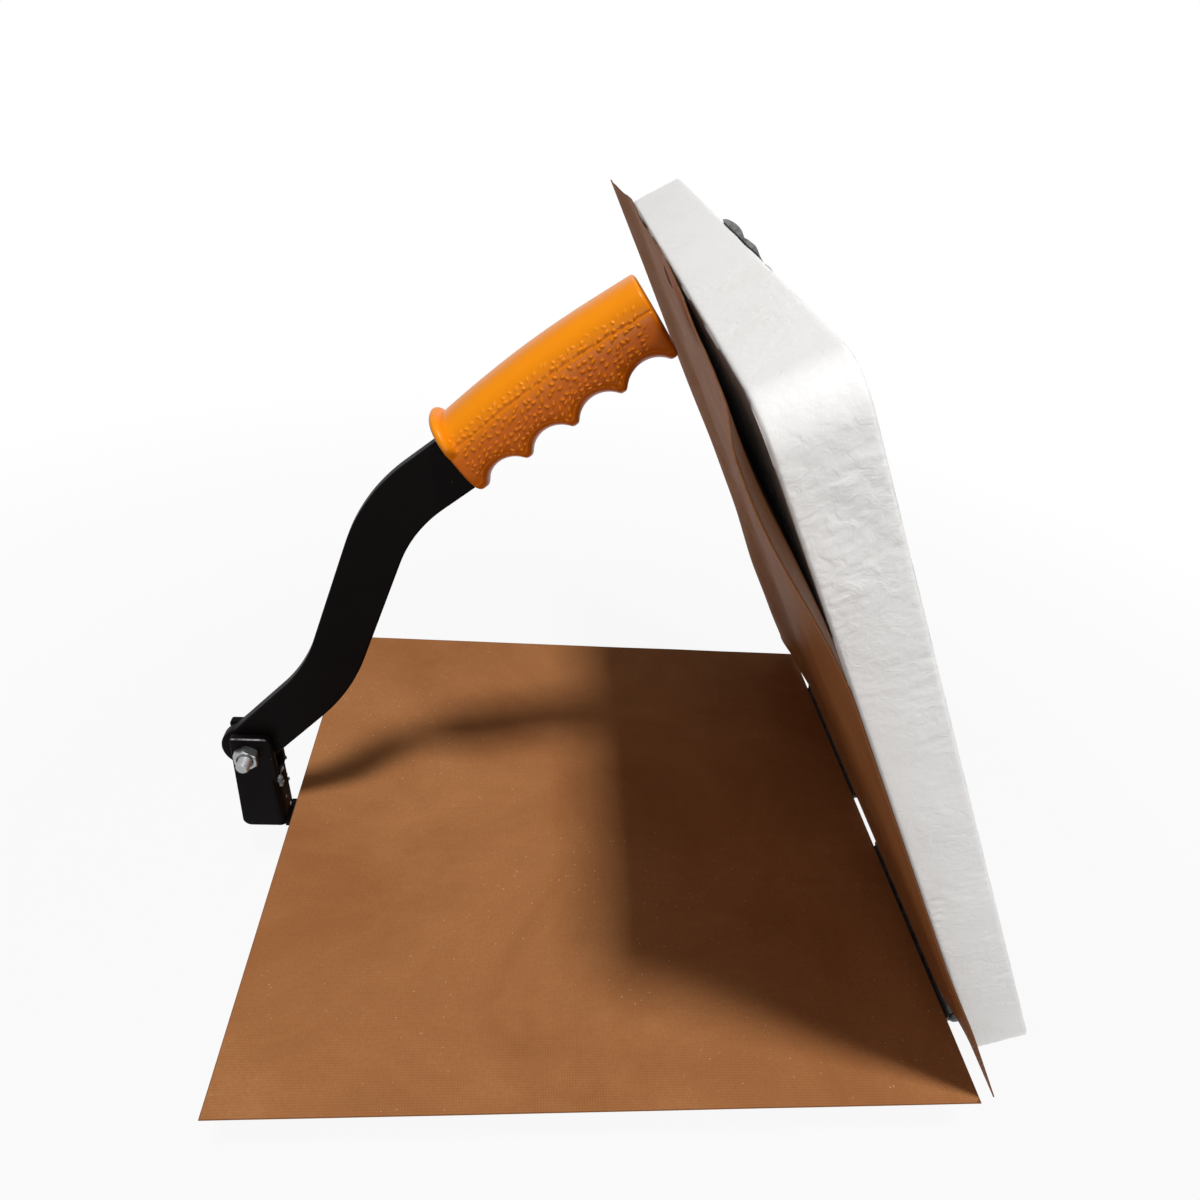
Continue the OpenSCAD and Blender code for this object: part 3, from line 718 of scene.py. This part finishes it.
def pebbles(u, v):
    """Height, up to 1, of short raised dashes scattered over a surface, at distances u and v along it."""
    rng = np.random.default_rng(PEBBLE_SEED)
    table = rng.random((PEBBLE_CELLS, PEBBLE_CELLS, 4))
    height = np.zeros_like(u)
    cell_u, cell_v = np.floor(u / PEBBLE_STEP).astype(int), np.floor(v / PEBBLE_STEP).astype(int)
    for du in (-1, 0, 1):
        for dv in (-1, 0, 1):
            pick = table[(cell_u + du) % PEBBLE_CELLS, (cell_v + dv) % PEBBLE_CELLS]
            from_u = u / PEBBLE_STEP - (cell_u + du + 0.2 + 0.6 * pick[..., 0])
            from_v = v / PEBBLE_STEP - (cell_v + dv + 0.2 + 0.6 * pick[..., 1])
            lean = (pick[..., 2] - 0.5) * DASH_LEAN
            long = (from_u * np.cos(lean) + from_v * np.sin(lean)) / (DASH_L + DASH_MORE * pick[..., 3])
            wide = (from_v * np.cos(lean) - from_u * np.sin(lean)) / DASH_W
            height = np.maximum(height, 1 - (long ** 2 + wide ** 2))
    return np.sqrt(np.clip(height, 0, 1))


def grip():
    """Moulded grip: smooth crown, seam, pebbled sides inside a border, finger grooves and a rolled lip."""
    side, up, run = section(GRIP_POINTS)
    length = np.hypot(side, up)
    sine = up / (GRIP_H / 2)
    below, above = smooth(0.0, 1.0, -sine), smooth(-0.2, 0.5, sine)
    near_seam = np.abs(up - SEAM_UP)
    rows, light_tones = [], []
    for i in range(GRIP_ROWS + 1):
        u = GRIP_L * i / GRIP_ROWS
        from_end = GRIP_L - u
        groove = groove_depth(u)
        swell = SWELL_UP * math.sin(math.pi * u / GRIP_L) - SWELL_DROP
        ends = min(1.0, min(u, from_end) / END_ROUND)
        round_off = END_ROUND * (1 - math.sqrt(1 - (1 - ends) ** 2))
        roll = math.sqrt(max(0.0, 1 - ((u - LIP_R) / LIP_R) ** 2))
        lip = (COLLAR_OUT + LIP_MORE) * roll * smooth(SEAM_UP - 3 * MM, SEAM_UP + 1.5 * MM, up)
        low = groove * below
        floor = -GRIP_H / 2 + groove
        inside = smooth(BORDER - 0.5 * MM, BORDER + 0.3 * MM, up + low - floor)
        pebbled = inside * smooth(SEAM_UP + 5.5 * MM, SEAM_UP + 2.0 * MM, up)
        pebbled = pebbled * smooth(3.2 * MM, 5.5 * MM, u) * smooth(3.5 * MM, 8 * MM, from_end + 0.25 * up)
        band = BORDER_H * (1 - inside) * smooth(0.0, -0.3, sine)
        seam = SEAM_DEEP * np.exp(-(near_seam / SEAM_W) ** 2) * smooth(4 * MM, 6 * MM, u)
        raised = pebbles(np.full(GRIP_POINTS, u), run) * pebbled
        skin = PEBBLE_H * raised + band - seam
        grow = (lip + skin - round_off - PEBBLE_H) / length
        across = side * (1 + grow)
        height = up * (1 + grow) + low + swell * above + GRIP_RISE
        rows.append([(u, h, a) for h, a in zip(height, across)])
        # Painted light: the crown gets the lit orange, each dash top a painted highlight, the sides the
        # shaded orange
        light_tones.append(np.minimum(1.0, smooth(SEAM_UP - 7 * MM, SEAM_UP + 8 * MM, up) + 0.4 * raised))
    turn_to_bar = Matrix.Translation((*GRIP_START, 0)) @ Matrix.Rotation(SLOPE_TOP, 4, "Z")
    mesh = tube_of("grip", rows, LEVER @ turn_to_bar, light_tones=light_tones)
    add_piece("finger_grip", mesh, "lever", "grip", ORANGE, angle=75)


# Bracket and pivot

# The near cheek's front edge tapers; the bare thread stands out less than in the part's source
TOP_R, TAPER, BOLT_FIT = 1.6 * MM, 3.0 * MM, 0.1 * MM
CHEEK_ROUND, WEB_ROUND, PLATE_ROUND = 0.7 * MM, 0.6 * MM, 0.4 * MM
THREAD_OUT, THREAD_PITCH, THREAD_TIP, SINK = 5.2 * MM, 1.0 * MM, 0.9 * MM, 0.9 * MM
HEX_STEPS, THREAD_STEPS, CHAMFER, HEAD_TURN = 96, 44, 1.75, 0.2
# How much painted glint the weld lumps get
WELD_GLINT = 0.7
# Welds in mm: beads on the web, lumps on its near corner (out, up, size), spatter (size, share across, drop)
BEADS = 9
LUMPS = ((0.4, -0.6, 1.7), (0.9, -2.6, 1.4), (0.5, -4.4, 1.1), (-0.8, -1.6, 1.5))
SPATTER = ((0.6, 0.34, 9), (0.9, -0.2, 17), (1.15, 0.1, 26), (0.75, -0.4, 6), (1.0, 0.42, 13))


def bracket():
    """Folded bracket: cheeks, web with a rough welded top, and the foot plate let into the base."""
    front, back = BRACKET_LO.x, BRACKET_LO.x + CHEEK_L
    half = BRACKET_HALF
    bottom, top = BASE_TOP - PLATE_T, BRACKET_HI.z
    cheek = arc((front + CHEEK_R, bottom + CHEEK_R), CHEEK_R, math.pi, 3 * QUARTER, 8)
    cheek += [np.array([back - CHEEK_T, bottom]), np.array([back - CHEEK_T, WEB_TOP - 1 * MM])]
    cheek += [np.array([back, WEB_TOP + 1 * MM])]
    cheek += arc((back - CHEEK_R, top - CHEEK_R), CHEEK_R, 0, QUARTER, 8)
    hole = circle((PIVOT.x, PIVOT.z), BOLT_D / 2 + BOLT_FIT)
    upright = Matrix.Rotation(QUARTER, 4, "X")
    parts = []
    for side, taper in ((-1, TAPER), (1, 0.0)):
        outline = cheek + arc((front + taper + TOP_R, top - TOP_R), TOP_R, QUARTER, math.pi, 6)
        place = Matrix.Translation((0, side * (half - CHEEK_T / 2), 0)) @ upright
        parts.append(plate("cheek", outline, CHEEK_T, CHEEK_ROUND, [hole], place))
    fold = arc((back - CHEEK_T, half - CHEEK_T), CHEEK_T, QUARTER, 0, 8)
    fold += arc((back - CHEEK_T, -half + CHEEK_T), CHEEK_T, 0, -QUARTER, 8)
    inner = [np.array([back - CHEEK_T - 0.5 * MM, y]) for y in (-half, half)]
    place = Matrix.Translation((0, 0, (bottom + WEB_TOP) / 2))
    parts.append(plate("web", fold + inner, WEB_TOP - bottom, WEB_ROUND, at=place))
    tongue = [(back - 1 * MM, -half), (FRONT + 1 * MM, -half), (FRONT + 1 * MM, half), (back - 1 * MM, half)]
    foot = [(FRONT + 0.15 * MM, -PLATE_W / 2), (FRONT + PLATE_L, -PLATE_W / 2)]
    foot += [(x, -y) for x, y in foot[::-1]]
    level = Matrix.Translation((0, 0, BASE_TOP - PLATE_T / 2))
    for outline in (tongue, foot):
        parts.append(plate("foot", [np.array(p) for p in outline], PLATE_T, PLATE_ROUND, at=level))
    parts += weld_beads(back, half)
    mesh = joined("bracket", parts)
    # Painted highlight along the near cheek's top edge, drawn as paint rubbed off there, and painted glints
    # on the weld lumps
    wear_and_glint = mesh.attributes.new("wear_and_glint", "FLOAT", "POINT")
    for vert in mesh.vertices:
        brow = top - 0.5 * MM < vert.co.z < top - 0.05 * MM and vert.co.y < 0.5 * MM - half
        lump_out = vert.co.x > back + 0.1 * MM and vert.co.z > BASE_TOP + 2 * MM
        wear_and_glint.data[vert.index].value = 1.0 if brow else WELD_GLINT * lump_out
    add_piece("folded_bracket", mesh, "base", "lever_bracket", BLACK)


def weld_beads(back, half):
    """Lumps of weld along the top of the web and spatter on its back face."""
    beads = []
    for i in range(BEADS):
        y = -half + 2 * half * (i + 0.5) / BEADS
        size = (1.5 + 0.7 * noise.noise((i * 1.7, 0.3, 0.0))) * MM
        place = Matrix.Translation((back - 1.6 * MM, y, WEB_TOP - 0.3 * MM))
        beads.append(lump("bead", size, place @ Matrix.Diagonal((1.25, 0.9, 0.75, 1)), i))
    for i, (out, up, size) in enumerate(LUMPS):
        place = Matrix.Translation((back + out * MM, -half + 1.2 * MM, WEB_TOP + up * MM))
        beads.append(lump("corner_bead", size * MM, place, 40 + i))
    for i, (size, across, drop) in enumerate(SPATTER):
        place = Matrix.Translation((back, across * half * 1.6, WEB_TOP - drop * MM))
        beads.append(lump("spatter", size * MM, place @ Matrix.Diagonal((0.5, 1, 1, 1)), 20 + i))
    return beads


def lump(name, size, at, seed):
    """Small rough blob."""
    bm = bmesh.new()
    bmesh.ops.create_icosphere(bm, subdivisions=3, radius=size)
    for vert in bm.verts:
        vert.co *= 1 + 0.22 * noise.noise(vert.co / size * 1.6 + Vector((seed * 3.1, 0, 0)))
    return mesh_of(name, bm, at)


def hex_rows(across_flats, low, high, chamfer_high, turn):
    """Rows of a hexagon prism with its corners turned off at its low end, and perhaps at its high end."""
    flat = across_flats / 2
    corner = flat / math.cos(math.pi / 6)
    rows = []
    for z in (low, low + 0.35 * MM, low + 0.9 * MM, high - 0.9 * MM, high - 0.35 * MM, high):
        limit = min(corner, flat * 0.98 + (z - low) * CHAMFER)
        if chamfer_high:
            limit = min(limit, flat * 0.98 + (high - z) * CHAMFER)
        row = []
        for k in range(HEX_STEPS):
            a = 2 * math.pi * k / HEX_STEPS
            to_flat = (a + math.pi / 6) % (math.pi / 3) - math.pi / 6
            r = min(flat / math.cos(to_flat), limit)
            row.append((r * math.cos(a + turn), r * math.sin(a + turn), z))
        rows.append(row)
    return rows


def thread_rows(radius, low, high, pitch, tip):
    """Rows of a threaded rod that ends in a short taper."""
    depth = 0.55 * pitch
    levels = max(2, int(round((high - low) / (pitch / 10))))
    rows = []
    for i in range(levels + 1):
        z = low + (high - low) * i / levels
        row = []
        for k in range(THREAD_STEPS):
            a = 2 * math.pi * k / THREAD_STEPS
            phase = (z / pitch - k / THREAD_STEPS) % 1.0
            cut = depth * min(1.0, 1.25 * abs(2 * phase - 1)) if z < high - 0.15 * MM else depth
            r = min(radius - cut * 0.9, radius - max(0.0, z - (high - tip)) * 0.9)
            row.append((r * math.cos(a), r * math.sin(a), z))
        rows.append(row)
    return rows


def pivot():
    """Countersunk nut, bolt with bare thread, washers and bush."""
    half = BRACKET_HALF
    rows = hex_rows(NUT_AF, half, half + NUT_H, True, 0.0)
    for out, deep in ((SINK, 0.0), (0.0, SINK)):
        rows.append(ring(BOLT_D / 2 + out, half + NUT_H - deep, HEX_STEPS))
    nut = tube_of("nut", rows, LEVER)
    add_piece("hex_nut", nut, "base", "pivot_nut", ZINC, angle=20)
    end = half + NUT_H + THREAD_OUT
    shank = [(BOLT_D / 2 - 0.02 * MM, -half), (BOLT_D / 2 - 0.02 * MM, half + 0.5 * MM)]
    parts = [
        lathe("shank", shank, LEVER),
        tube_of("thread", thread_rows(BOLT_D / 2, half + 0.4 * MM, end, THREAD_PITCH, THREAD_TIP), LEVER),
        tube_of("head", hex_rows(NUT_AF, -half - HEAD_H, -half, False, HEAD_TURN), LEVER),
    ]
    add_piece("hex_bolt", joined("bolt", parts), "base", "pivot_bolt", ZINC, angle=35)
    for node in ("pivot_washers", "pivot_bush"):
        dress(node, ZINC)


def dress(node, paint):
    """Gives a CAD node that stays a material."""
    shown = frame["nodes"][node]
    shown.data.materials.clear()
    shown.data.materials.append(paint)


# Hinges


def leaf_mesh(name, side, first, at):
    """Hinge leaf on the base's back edge with every second knuckle."""
    start = side * HINGE_MID - HINGE_L / 2
    pitch = HINGE_L / KNUCKLES
    low, high = BASE_TOP - LEAF_H, BASE_TOP - 0.4 * MM
    corner = 2 * MM
    outline = arc((start + corner, low + corner), corner, math.pi, 3 * QUARTER, 6)
    outline += arc((start + HINGE_L - corner, low + corner), corner, 3 * QUARTER, 4 * QUARTER, 6)
    outline += [np.array([start + HINGE_L, high]), np.array([start, high])]
    holes = []
    for i in range(LEAF_SCREWS):
        y = start + (i + 0.5) * HINGE_L / LEAF_SCREWS
        holes.append(circle((y, BASE_TOP - LEAF_SCREW_DROP), SCREW_D / 2 + 0.2 * MM, 24))
    stand = Matrix(((0, 0, 1, BACK + LEAF_T / 2), (1, 0, 0, 0), (0, 1, 0, 0), (0, 0, 0, 1)))
    parts = [plate("leaf", outline, LEAF_T, 0.35 * MM, holes, at @ stand, rings=2)]
    round_r = 0.5 * MM
    for i in range(first, KNUCKLES, 2):
        low_y = start + i * pitch + KNUCKLE_FIT / 2
        high_y = low_y + pitch - KNUCKLE_FIT
        r, bore = KNUCKLE_D / 2, PIN_D / 2 + 0.05 * MM
        profile = [(bore, 0), (r - round_r, 0), (r - 0.15 * MM, 0.15 * MM), (r, round_r)]
        profile += [(rr, high_y - low_y - z) for rr, z in profile[::-1]] + [(bore, 0)]
        parts.append(lathe("knuckle", profile, at @ at_y(AXIS.x, low_y, AXIS.z)))
        strap = [(BACK + 0.3 * MM, BASE_TOP - 3 * MM), (BACK + LEAF_T, BASE_TOP - 3 * MM)]
        strap += [(AXIS.x - 0.6 * MM, AXIS.z - KNUCKLE_D / 2 + 0.15 * MM), (AXIS.x - 3 * MM, AXIS.z)]
        middle = Matrix.Translation((0, (low_y + high_y) / 2, 0)) @ Matrix.Rotation(QUARTER, 4, "X")
        points = [np.array(p) for p in strap]
        parts.append(plate("strap", points, high_y - low_y, 0.2 * MM, at=at @ middle, rings=2))
    return joined(name, parts)


def hinges():
    """Two butt hinges: leaves and pins."""
    for word, side in (("near", -1), ("far", 1)):
        mesh = leaf_mesh("base_leaf", side, 0, Matrix.Identity(4))
        add_piece(f"{word}_lower_leaf", mesh, "base", f"{word}_base_leaf", HINGE)
        mesh = leaf_mesh("lid_leaf", side, 1, LID @ MIRROR)
        add_piece(f"{word}_upper_leaf", mesh, "lid", f"{word}_lid_leaf", HINGE)
        r, head = PIN_D / 2, PIN_HEAD_D / 2
        reach = HINGE_L / 2 + KNUCKLE_FIT
        top = reach + PIN_HEAD_T
        dome = [(0, top), (head * 0.55, top - 0.08 * MM), (head - 0.35 * MM, top - 0.35 * MM)]
        dome += [(head, top - 0.75 * MM), (head, reach), (r, reach)]
        profile = dome + [(rr, -z) for rr, z in dome[::-1]]
        mesh = lathe("pin", profile, at_y(AXIS.x, side * HINGE_MID, AXIS.z))
        add_piece(f"{word}_pin", mesh, "hinge_pins", f"{word}_hinge_pin", HINGE)


# Fasteners

HEAD_ROWS, CROSS_DEEP, SCREW_TURN = 14, 0.9 * MM, 0.7


def screw_mesh(at, turn):
    """Wood screw pointing down from its seat at z = 0: domed head with a cross recess, plain shank."""
    dome_r = (SCREW_HEAD_D ** 2 / 4 + SCREW_HEAD_H ** 2) / (2 * SCREW_HEAD_H)
    shank = [(0.0, -SCREW_L), (SCREW_D / 2, -SCREW_L + 4 * MM), (SCREW_D / 2, 0.0), (SCREW_HEAD_D / 2, 0.0)]
    rows = [ring(r, z, ROUND_STEPS) for r, z in shank]
    for i in range(HEAD_ROWS + 1):
        r = SCREW_HEAD_D / 2 * (1 - i / HEAD_ROWS)
        dome = math.sqrt(dome_r ** 2 - r * r) - (dome_r - SCREW_HEAD_H)
        row = []
        for x, y, z in ring(r, dome, ROUND_STEPS):
            arm = min(abs(x), abs(y))
            cross = smooth(0.55 * MM, 0.35 * MM, arm) * smooth(2.1 * MM, 1.7 * MM, r)
            row.append((x, y, z - CROSS_DEEP * float(cross)))
        rows.append(row)
    return tube_of("screw", rows, at @ Matrix.Rotation(turn, 4, "Z"), capped=False)


def screws(name, node, body, paint, places):
    """All screws of one group as one piece."""
    parts = [screw_mesh(place, SCREW_TURN * i) for i, place in enumerate(places)]
    add_piece(name, joined(name, parts), body, node, paint, angle=35)


def leaf_screw_places(at):
    """Seats of the hinge screws on the base's back edge."""
    places = []
    for side in (-1, 1):
        for i in range(LEAF_SCREWS):
            y = side * HINGE_MID - HINGE_L / 2 + (i + 0.5) * HINGE_L / LEAF_SCREWS
            seat = Matrix.Translation((BACK + LEAF_T, y, BASE_TOP - LEAF_SCREW_DROP))
            places.append(at @ seat @ Matrix.Rotation(QUARTER, 4, "Y"))
    return places


def fasteners():
    """Screws of the feet, hinges and strike plate."""
    feet = [Matrix.Translation((x, y, FOOT_RECESS)) @ FLIP for x, y in foot_places()]
    screws("foot_wood_screws", "foot_screws", "base", ZINC, feet)
    lower = leaf_screw_places(Matrix.Identity(4))
    screws("lower_hinge_screws", "base_leaf_screws", "base", HINGE, lower)
    upper = leaf_screw_places(LID @ MIRROR)
    screws("upper_hinge_screws", "lid_leaf_screws", "lid", HINGE, upper)
    near_edge = -STRIKE_SHIFT - STRIKE_W / 2
    seats = []
    for x in (STRIKE_SCREW_END, STRIKE_L - STRIKE_SCREW_END):
        seat = Vector((FRONT + x, near_edge + STRIKE_SCREW_SIDE, LID_TOP + STRIKE_T))
        seats.append(LID @ Matrix.Translation(seat))
    screws("strike_wood_screws", "strike_screws", "lid", ZINC, seats)
    dress("bracket_screws", ZINC)


def foot_places():
    """Middles of the four feet."""
    reach = HALF_W - FOOT_INSET
    return [(x, y) for x in (FRONT + FOOT_INSET, BACK - FOOT_INSET) for y in (-reach, reach)]


def feet():
    """Tapered rubber feet with a rounded rim and a recess for the screw."""
    top, low, rim = FOOT_D / 2, (FOOT_D - FOOT_TAPER) / 2, 1.2 * MM
    hole, recess = SCREW_D / 2 + 0.1 * MM, FOOT_RECESS_D / 2
    profile = [(hole, FOOT_H), (top - 0.4 * MM, FOOT_H), (top, FOOT_H - 0.4 * MM), (low + 0.3 * MM, rim)]
    profile += [(low - 0.35 * MM, 0.35 * MM), (low - rim, 0.0), (recess + 0.4 * MM, 0.0), (recess, 0.4 * MM)]
    profile += [(recess, FOOT_RECESS), (hole, FOOT_RECESS), (hole, FOOT_H)]
    parts = [lathe("foot", profile, Matrix.Translation((x, y, 0))) for x, y in foot_places()]
    add_piece("four_feet", joined("feet", parts), "base", "rubber_feet", RUBBER)


# Strike plate and tack

HUMP, LOW_HUMP, HUMP_PINCH = 2.0 * MM, 1.2 * MM, 4 * MM
STRIKE_ROWS, STRIKE_POINTS = 44, 60


def strike():
    """Hammered plate on the lid's outer face, whose front edge shows as two low humps."""
    middle = -STRIKE_SHIFT
    half = STRIKE_W / 2
    pinch = middle - HUMP_PINCH
    bm = bmesh.new()
    sides = []
    for level in (0.0, 1.0):
        rows = []
        for i in range(STRIKE_ROWS + 1):
            row = []
            for j in range(STRIKE_POINTS + 1):
                x = STRIKE_L * i / STRIKE_ROWS
                y = middle - half + STRIKE_W * j / STRIKE_POINTS
                edge = min(STRIKE_L - x, y - middle + half, middle + half - y)
                wide = middle + half - pinch if y > pinch else pinch - middle + half
                share = min(1.0, abs(y - pinch) / wide)
                hump = HUMP if y > pinch else LOW_HUMP
                lens = hump * math.sqrt(max(0.0, 1 - (2 * share - 1) ** 2))
                dent = 0.12 * MM * noise.noise((x * 160, y * 160, 1.0))
                inner = smooth(0, 12 * MM, x) * smooth(0, 5 * MM, edge)
                height = max(0.1 * MM, lens + (STRIKE_T - lens) * inner + dent)
                row.append(bm.verts.new((FRONT + x, y, LID_TOP + level * height)))
            rows.append(row)
        sides.append(rows)
    two_sided(bm, *sides)
    mesh = mesh_of("strike", bm, LID)
    add_piece("strike_pad", mesh, "lid", "strike_plate", STRIKE)
    cap = [(0, TACK_T), (TACK_D * 0.25, TACK_T * 0.95), (TACK_D * 0.4, TACK_T * 0.6)]
    cap += [(TACK_D / 2, 0.05 * MM), (TACK_D / 2, 0)]
    place = LID @ Matrix.Translation((FRONT + TACK_INSET, TACK_SIDE, LID_Z - SHEET_T))
    mesh = lathe("tack", cap, place @ FLIP)
    add_piece("tack_cap", mesh, "lid", "sheet_tack", TACK)


# Studio

# The camera was solved from the corners of the lower sheet in the photograph
PHOTO = 1200
FOCAL_PX = 807
CENTRE_PX = (597, 689)
SENSOR = 36
CAMERA_AT = Vector((FRONT + 104.3 * MM, -285.7 * MM, SHEET_HI.z + 313.8 * MM))
YAW, PITCH, ROLL = (math.radians(a) for a in (7.80, 38.55, 6.81))
FLOOR_SHARE, FLOOR_NEAR, FLOOR_FAR = 0.925, 0.30, 0.75
FLOOR_SIZE, FLOOR_Z, FLOOR_GREY = 6.0, -0.2 * MM, 0.42
AMBIENT = 0.10


def camera():
    """Camera where the photograph was taken from."""
    forward = Vector((math.sin(YAW) * math.cos(PITCH), math.cos(YAW) * math.cos(PITCH), -math.sin(PITCH)))
    right = Vector((math.cos(YAW), -math.sin(YAW), 0))
    up = right.cross(forward)
    side = math.cos(ROLL) * right + math.sin(ROLL) * up
    top = math.cos(ROLL) * up - math.sin(ROLL) * right
    data = bpy.data.cameras.new("camera")
    data.sensor_width = SENSOR
    data.lens = FOCAL_PX / PHOTO * SENSOR
    data.shift_x = (PHOTO / 2 - CENTRE_PX[0]) / PHOTO
    data.shift_y = (CENTRE_PX[1] - PHOTO / 2) / PHOTO
    data.clip_start = 0.01
    made = bpy.data.objects.new("camera", data)
    bpy.context.scene.collection.objects.link(made)
    columns = Matrix((side, top, -forward)).transposed().to_4x4()
    made.matrix_world = Matrix.Translation(CAMERA_AT) @ columns
    bpy.context.scene.camera = made


def lamp(name, place, target, power, size):
    """Square soft light aimed at a point."""
    data = bpy.data.lights.new(name, "AREA")
    data.energy = power
    data.size = size
    made = bpy.data.objects.new(name, data)
    made.location = place
    made.rotation_euler = (Vector(target) - Vector(place)).to_track_quat("-Z", "Y").to_euler()
    bpy.context.scene.collection.objects.link(made)


def seen_plainly(tree):
    """1 for rays from the camera and for those mirrored or let through."""
    path = tree.nodes.new("ShaderNodeLightPath")
    seen = path.outputs["Is Camera Ray"]
    for other in ("Is Glossy Ray", "Is Transmission Ray"):
        either = tree.nodes.new("ShaderNodeMath")
        either.operation = "MAXIMUM"
        tree.links.new(seen, either.inputs[0])
        tree.links.new(path.outputs[other], either.inputs[1])
        seen = either.outputs["Value"]
    return seen


def floor_paint():
    """Pale floor that keeps the object's shadow and runs out into white."""
    p = Paint("floor")
    p.finish((FLOOR_GREY, FLOOR_GREY, FLOOR_GREY, 1), 0.9, specular_ior_level=0.1)
    reach = p.add("ShaderNodeVectorMath", "Value", {0: p.place}, operation="LENGTH")
    share = p.ramp(reach, FLOOR_NEAR, FLOOR_FAR, FLOOR_SHARE, 1.0)
    share = p.maths("MULTIPLY", share, seen_plainly(p.tree))
    glow = p.add("ShaderNodeEmission", "Emission")
    both = p.add("ShaderNodeMixShader", "Shader", {"Fac": share, 1: p.shader.outputs["BSDF"], 2: glow})
    p.link(both, p.tree.nodes["Material Output"].inputs["Surface"])
    return p.made


def studio():
    """Pale floor, white surroundings and soft lamps."""
    bm = bmesh.new()
    corners = [(FLOOR_SIZE * x, FLOOR_SIZE * y) for x, y in ((-1, -1), (1, -1), (1, 1), (-1, 1))]
    bm.faces.new([bm.verts.new((x, y, FLOOR_Z)) for x, y in corners])
    mesh = bpy.data.meshes.new("floor")
    bm.to_mesh(mesh)
    bm.free()
    floor = bpy.data.objects.new("floor", mesh)
    bpy.context.scene.collection.objects.link(floor)
    mesh.materials.append(floor_paint())
    world = bpy.data.worlds.new("world")
    bpy.context.scene.world = world
    world.use_nodes = True
    nodes, links = world.node_tree.nodes, world.node_tree.links
    background = nodes["Background"]
    level = nodes.new("ShaderNodeMapRange")
    links.new(seen_plainly(world.node_tree), level.inputs["Value"])
    level.inputs["To Min"].default_value = AMBIENT
    level.inputs["To Max"].default_value = 1.0
    background.inputs["Color"].default_value = (1, 1, 1, 1)
    links.new(level.outputs["Result"], background.inputs["Strength"])
    lamp("key", (0.0, -0.44, 1.58), (0.0, 0, 0.1), 17, 0.2)
    lamp("fill", (0.15, -1.6, 0.3), (0.05, 0, 0.2), 9.4, 0.7)
    bpy.context.scene.view_settings.view_transform = "Standard"


camera()
boards()
sheets()
lever_bar()
grip()
bracket()
pivot()
hinges()
fasteners()
feet()
strike()
studio()
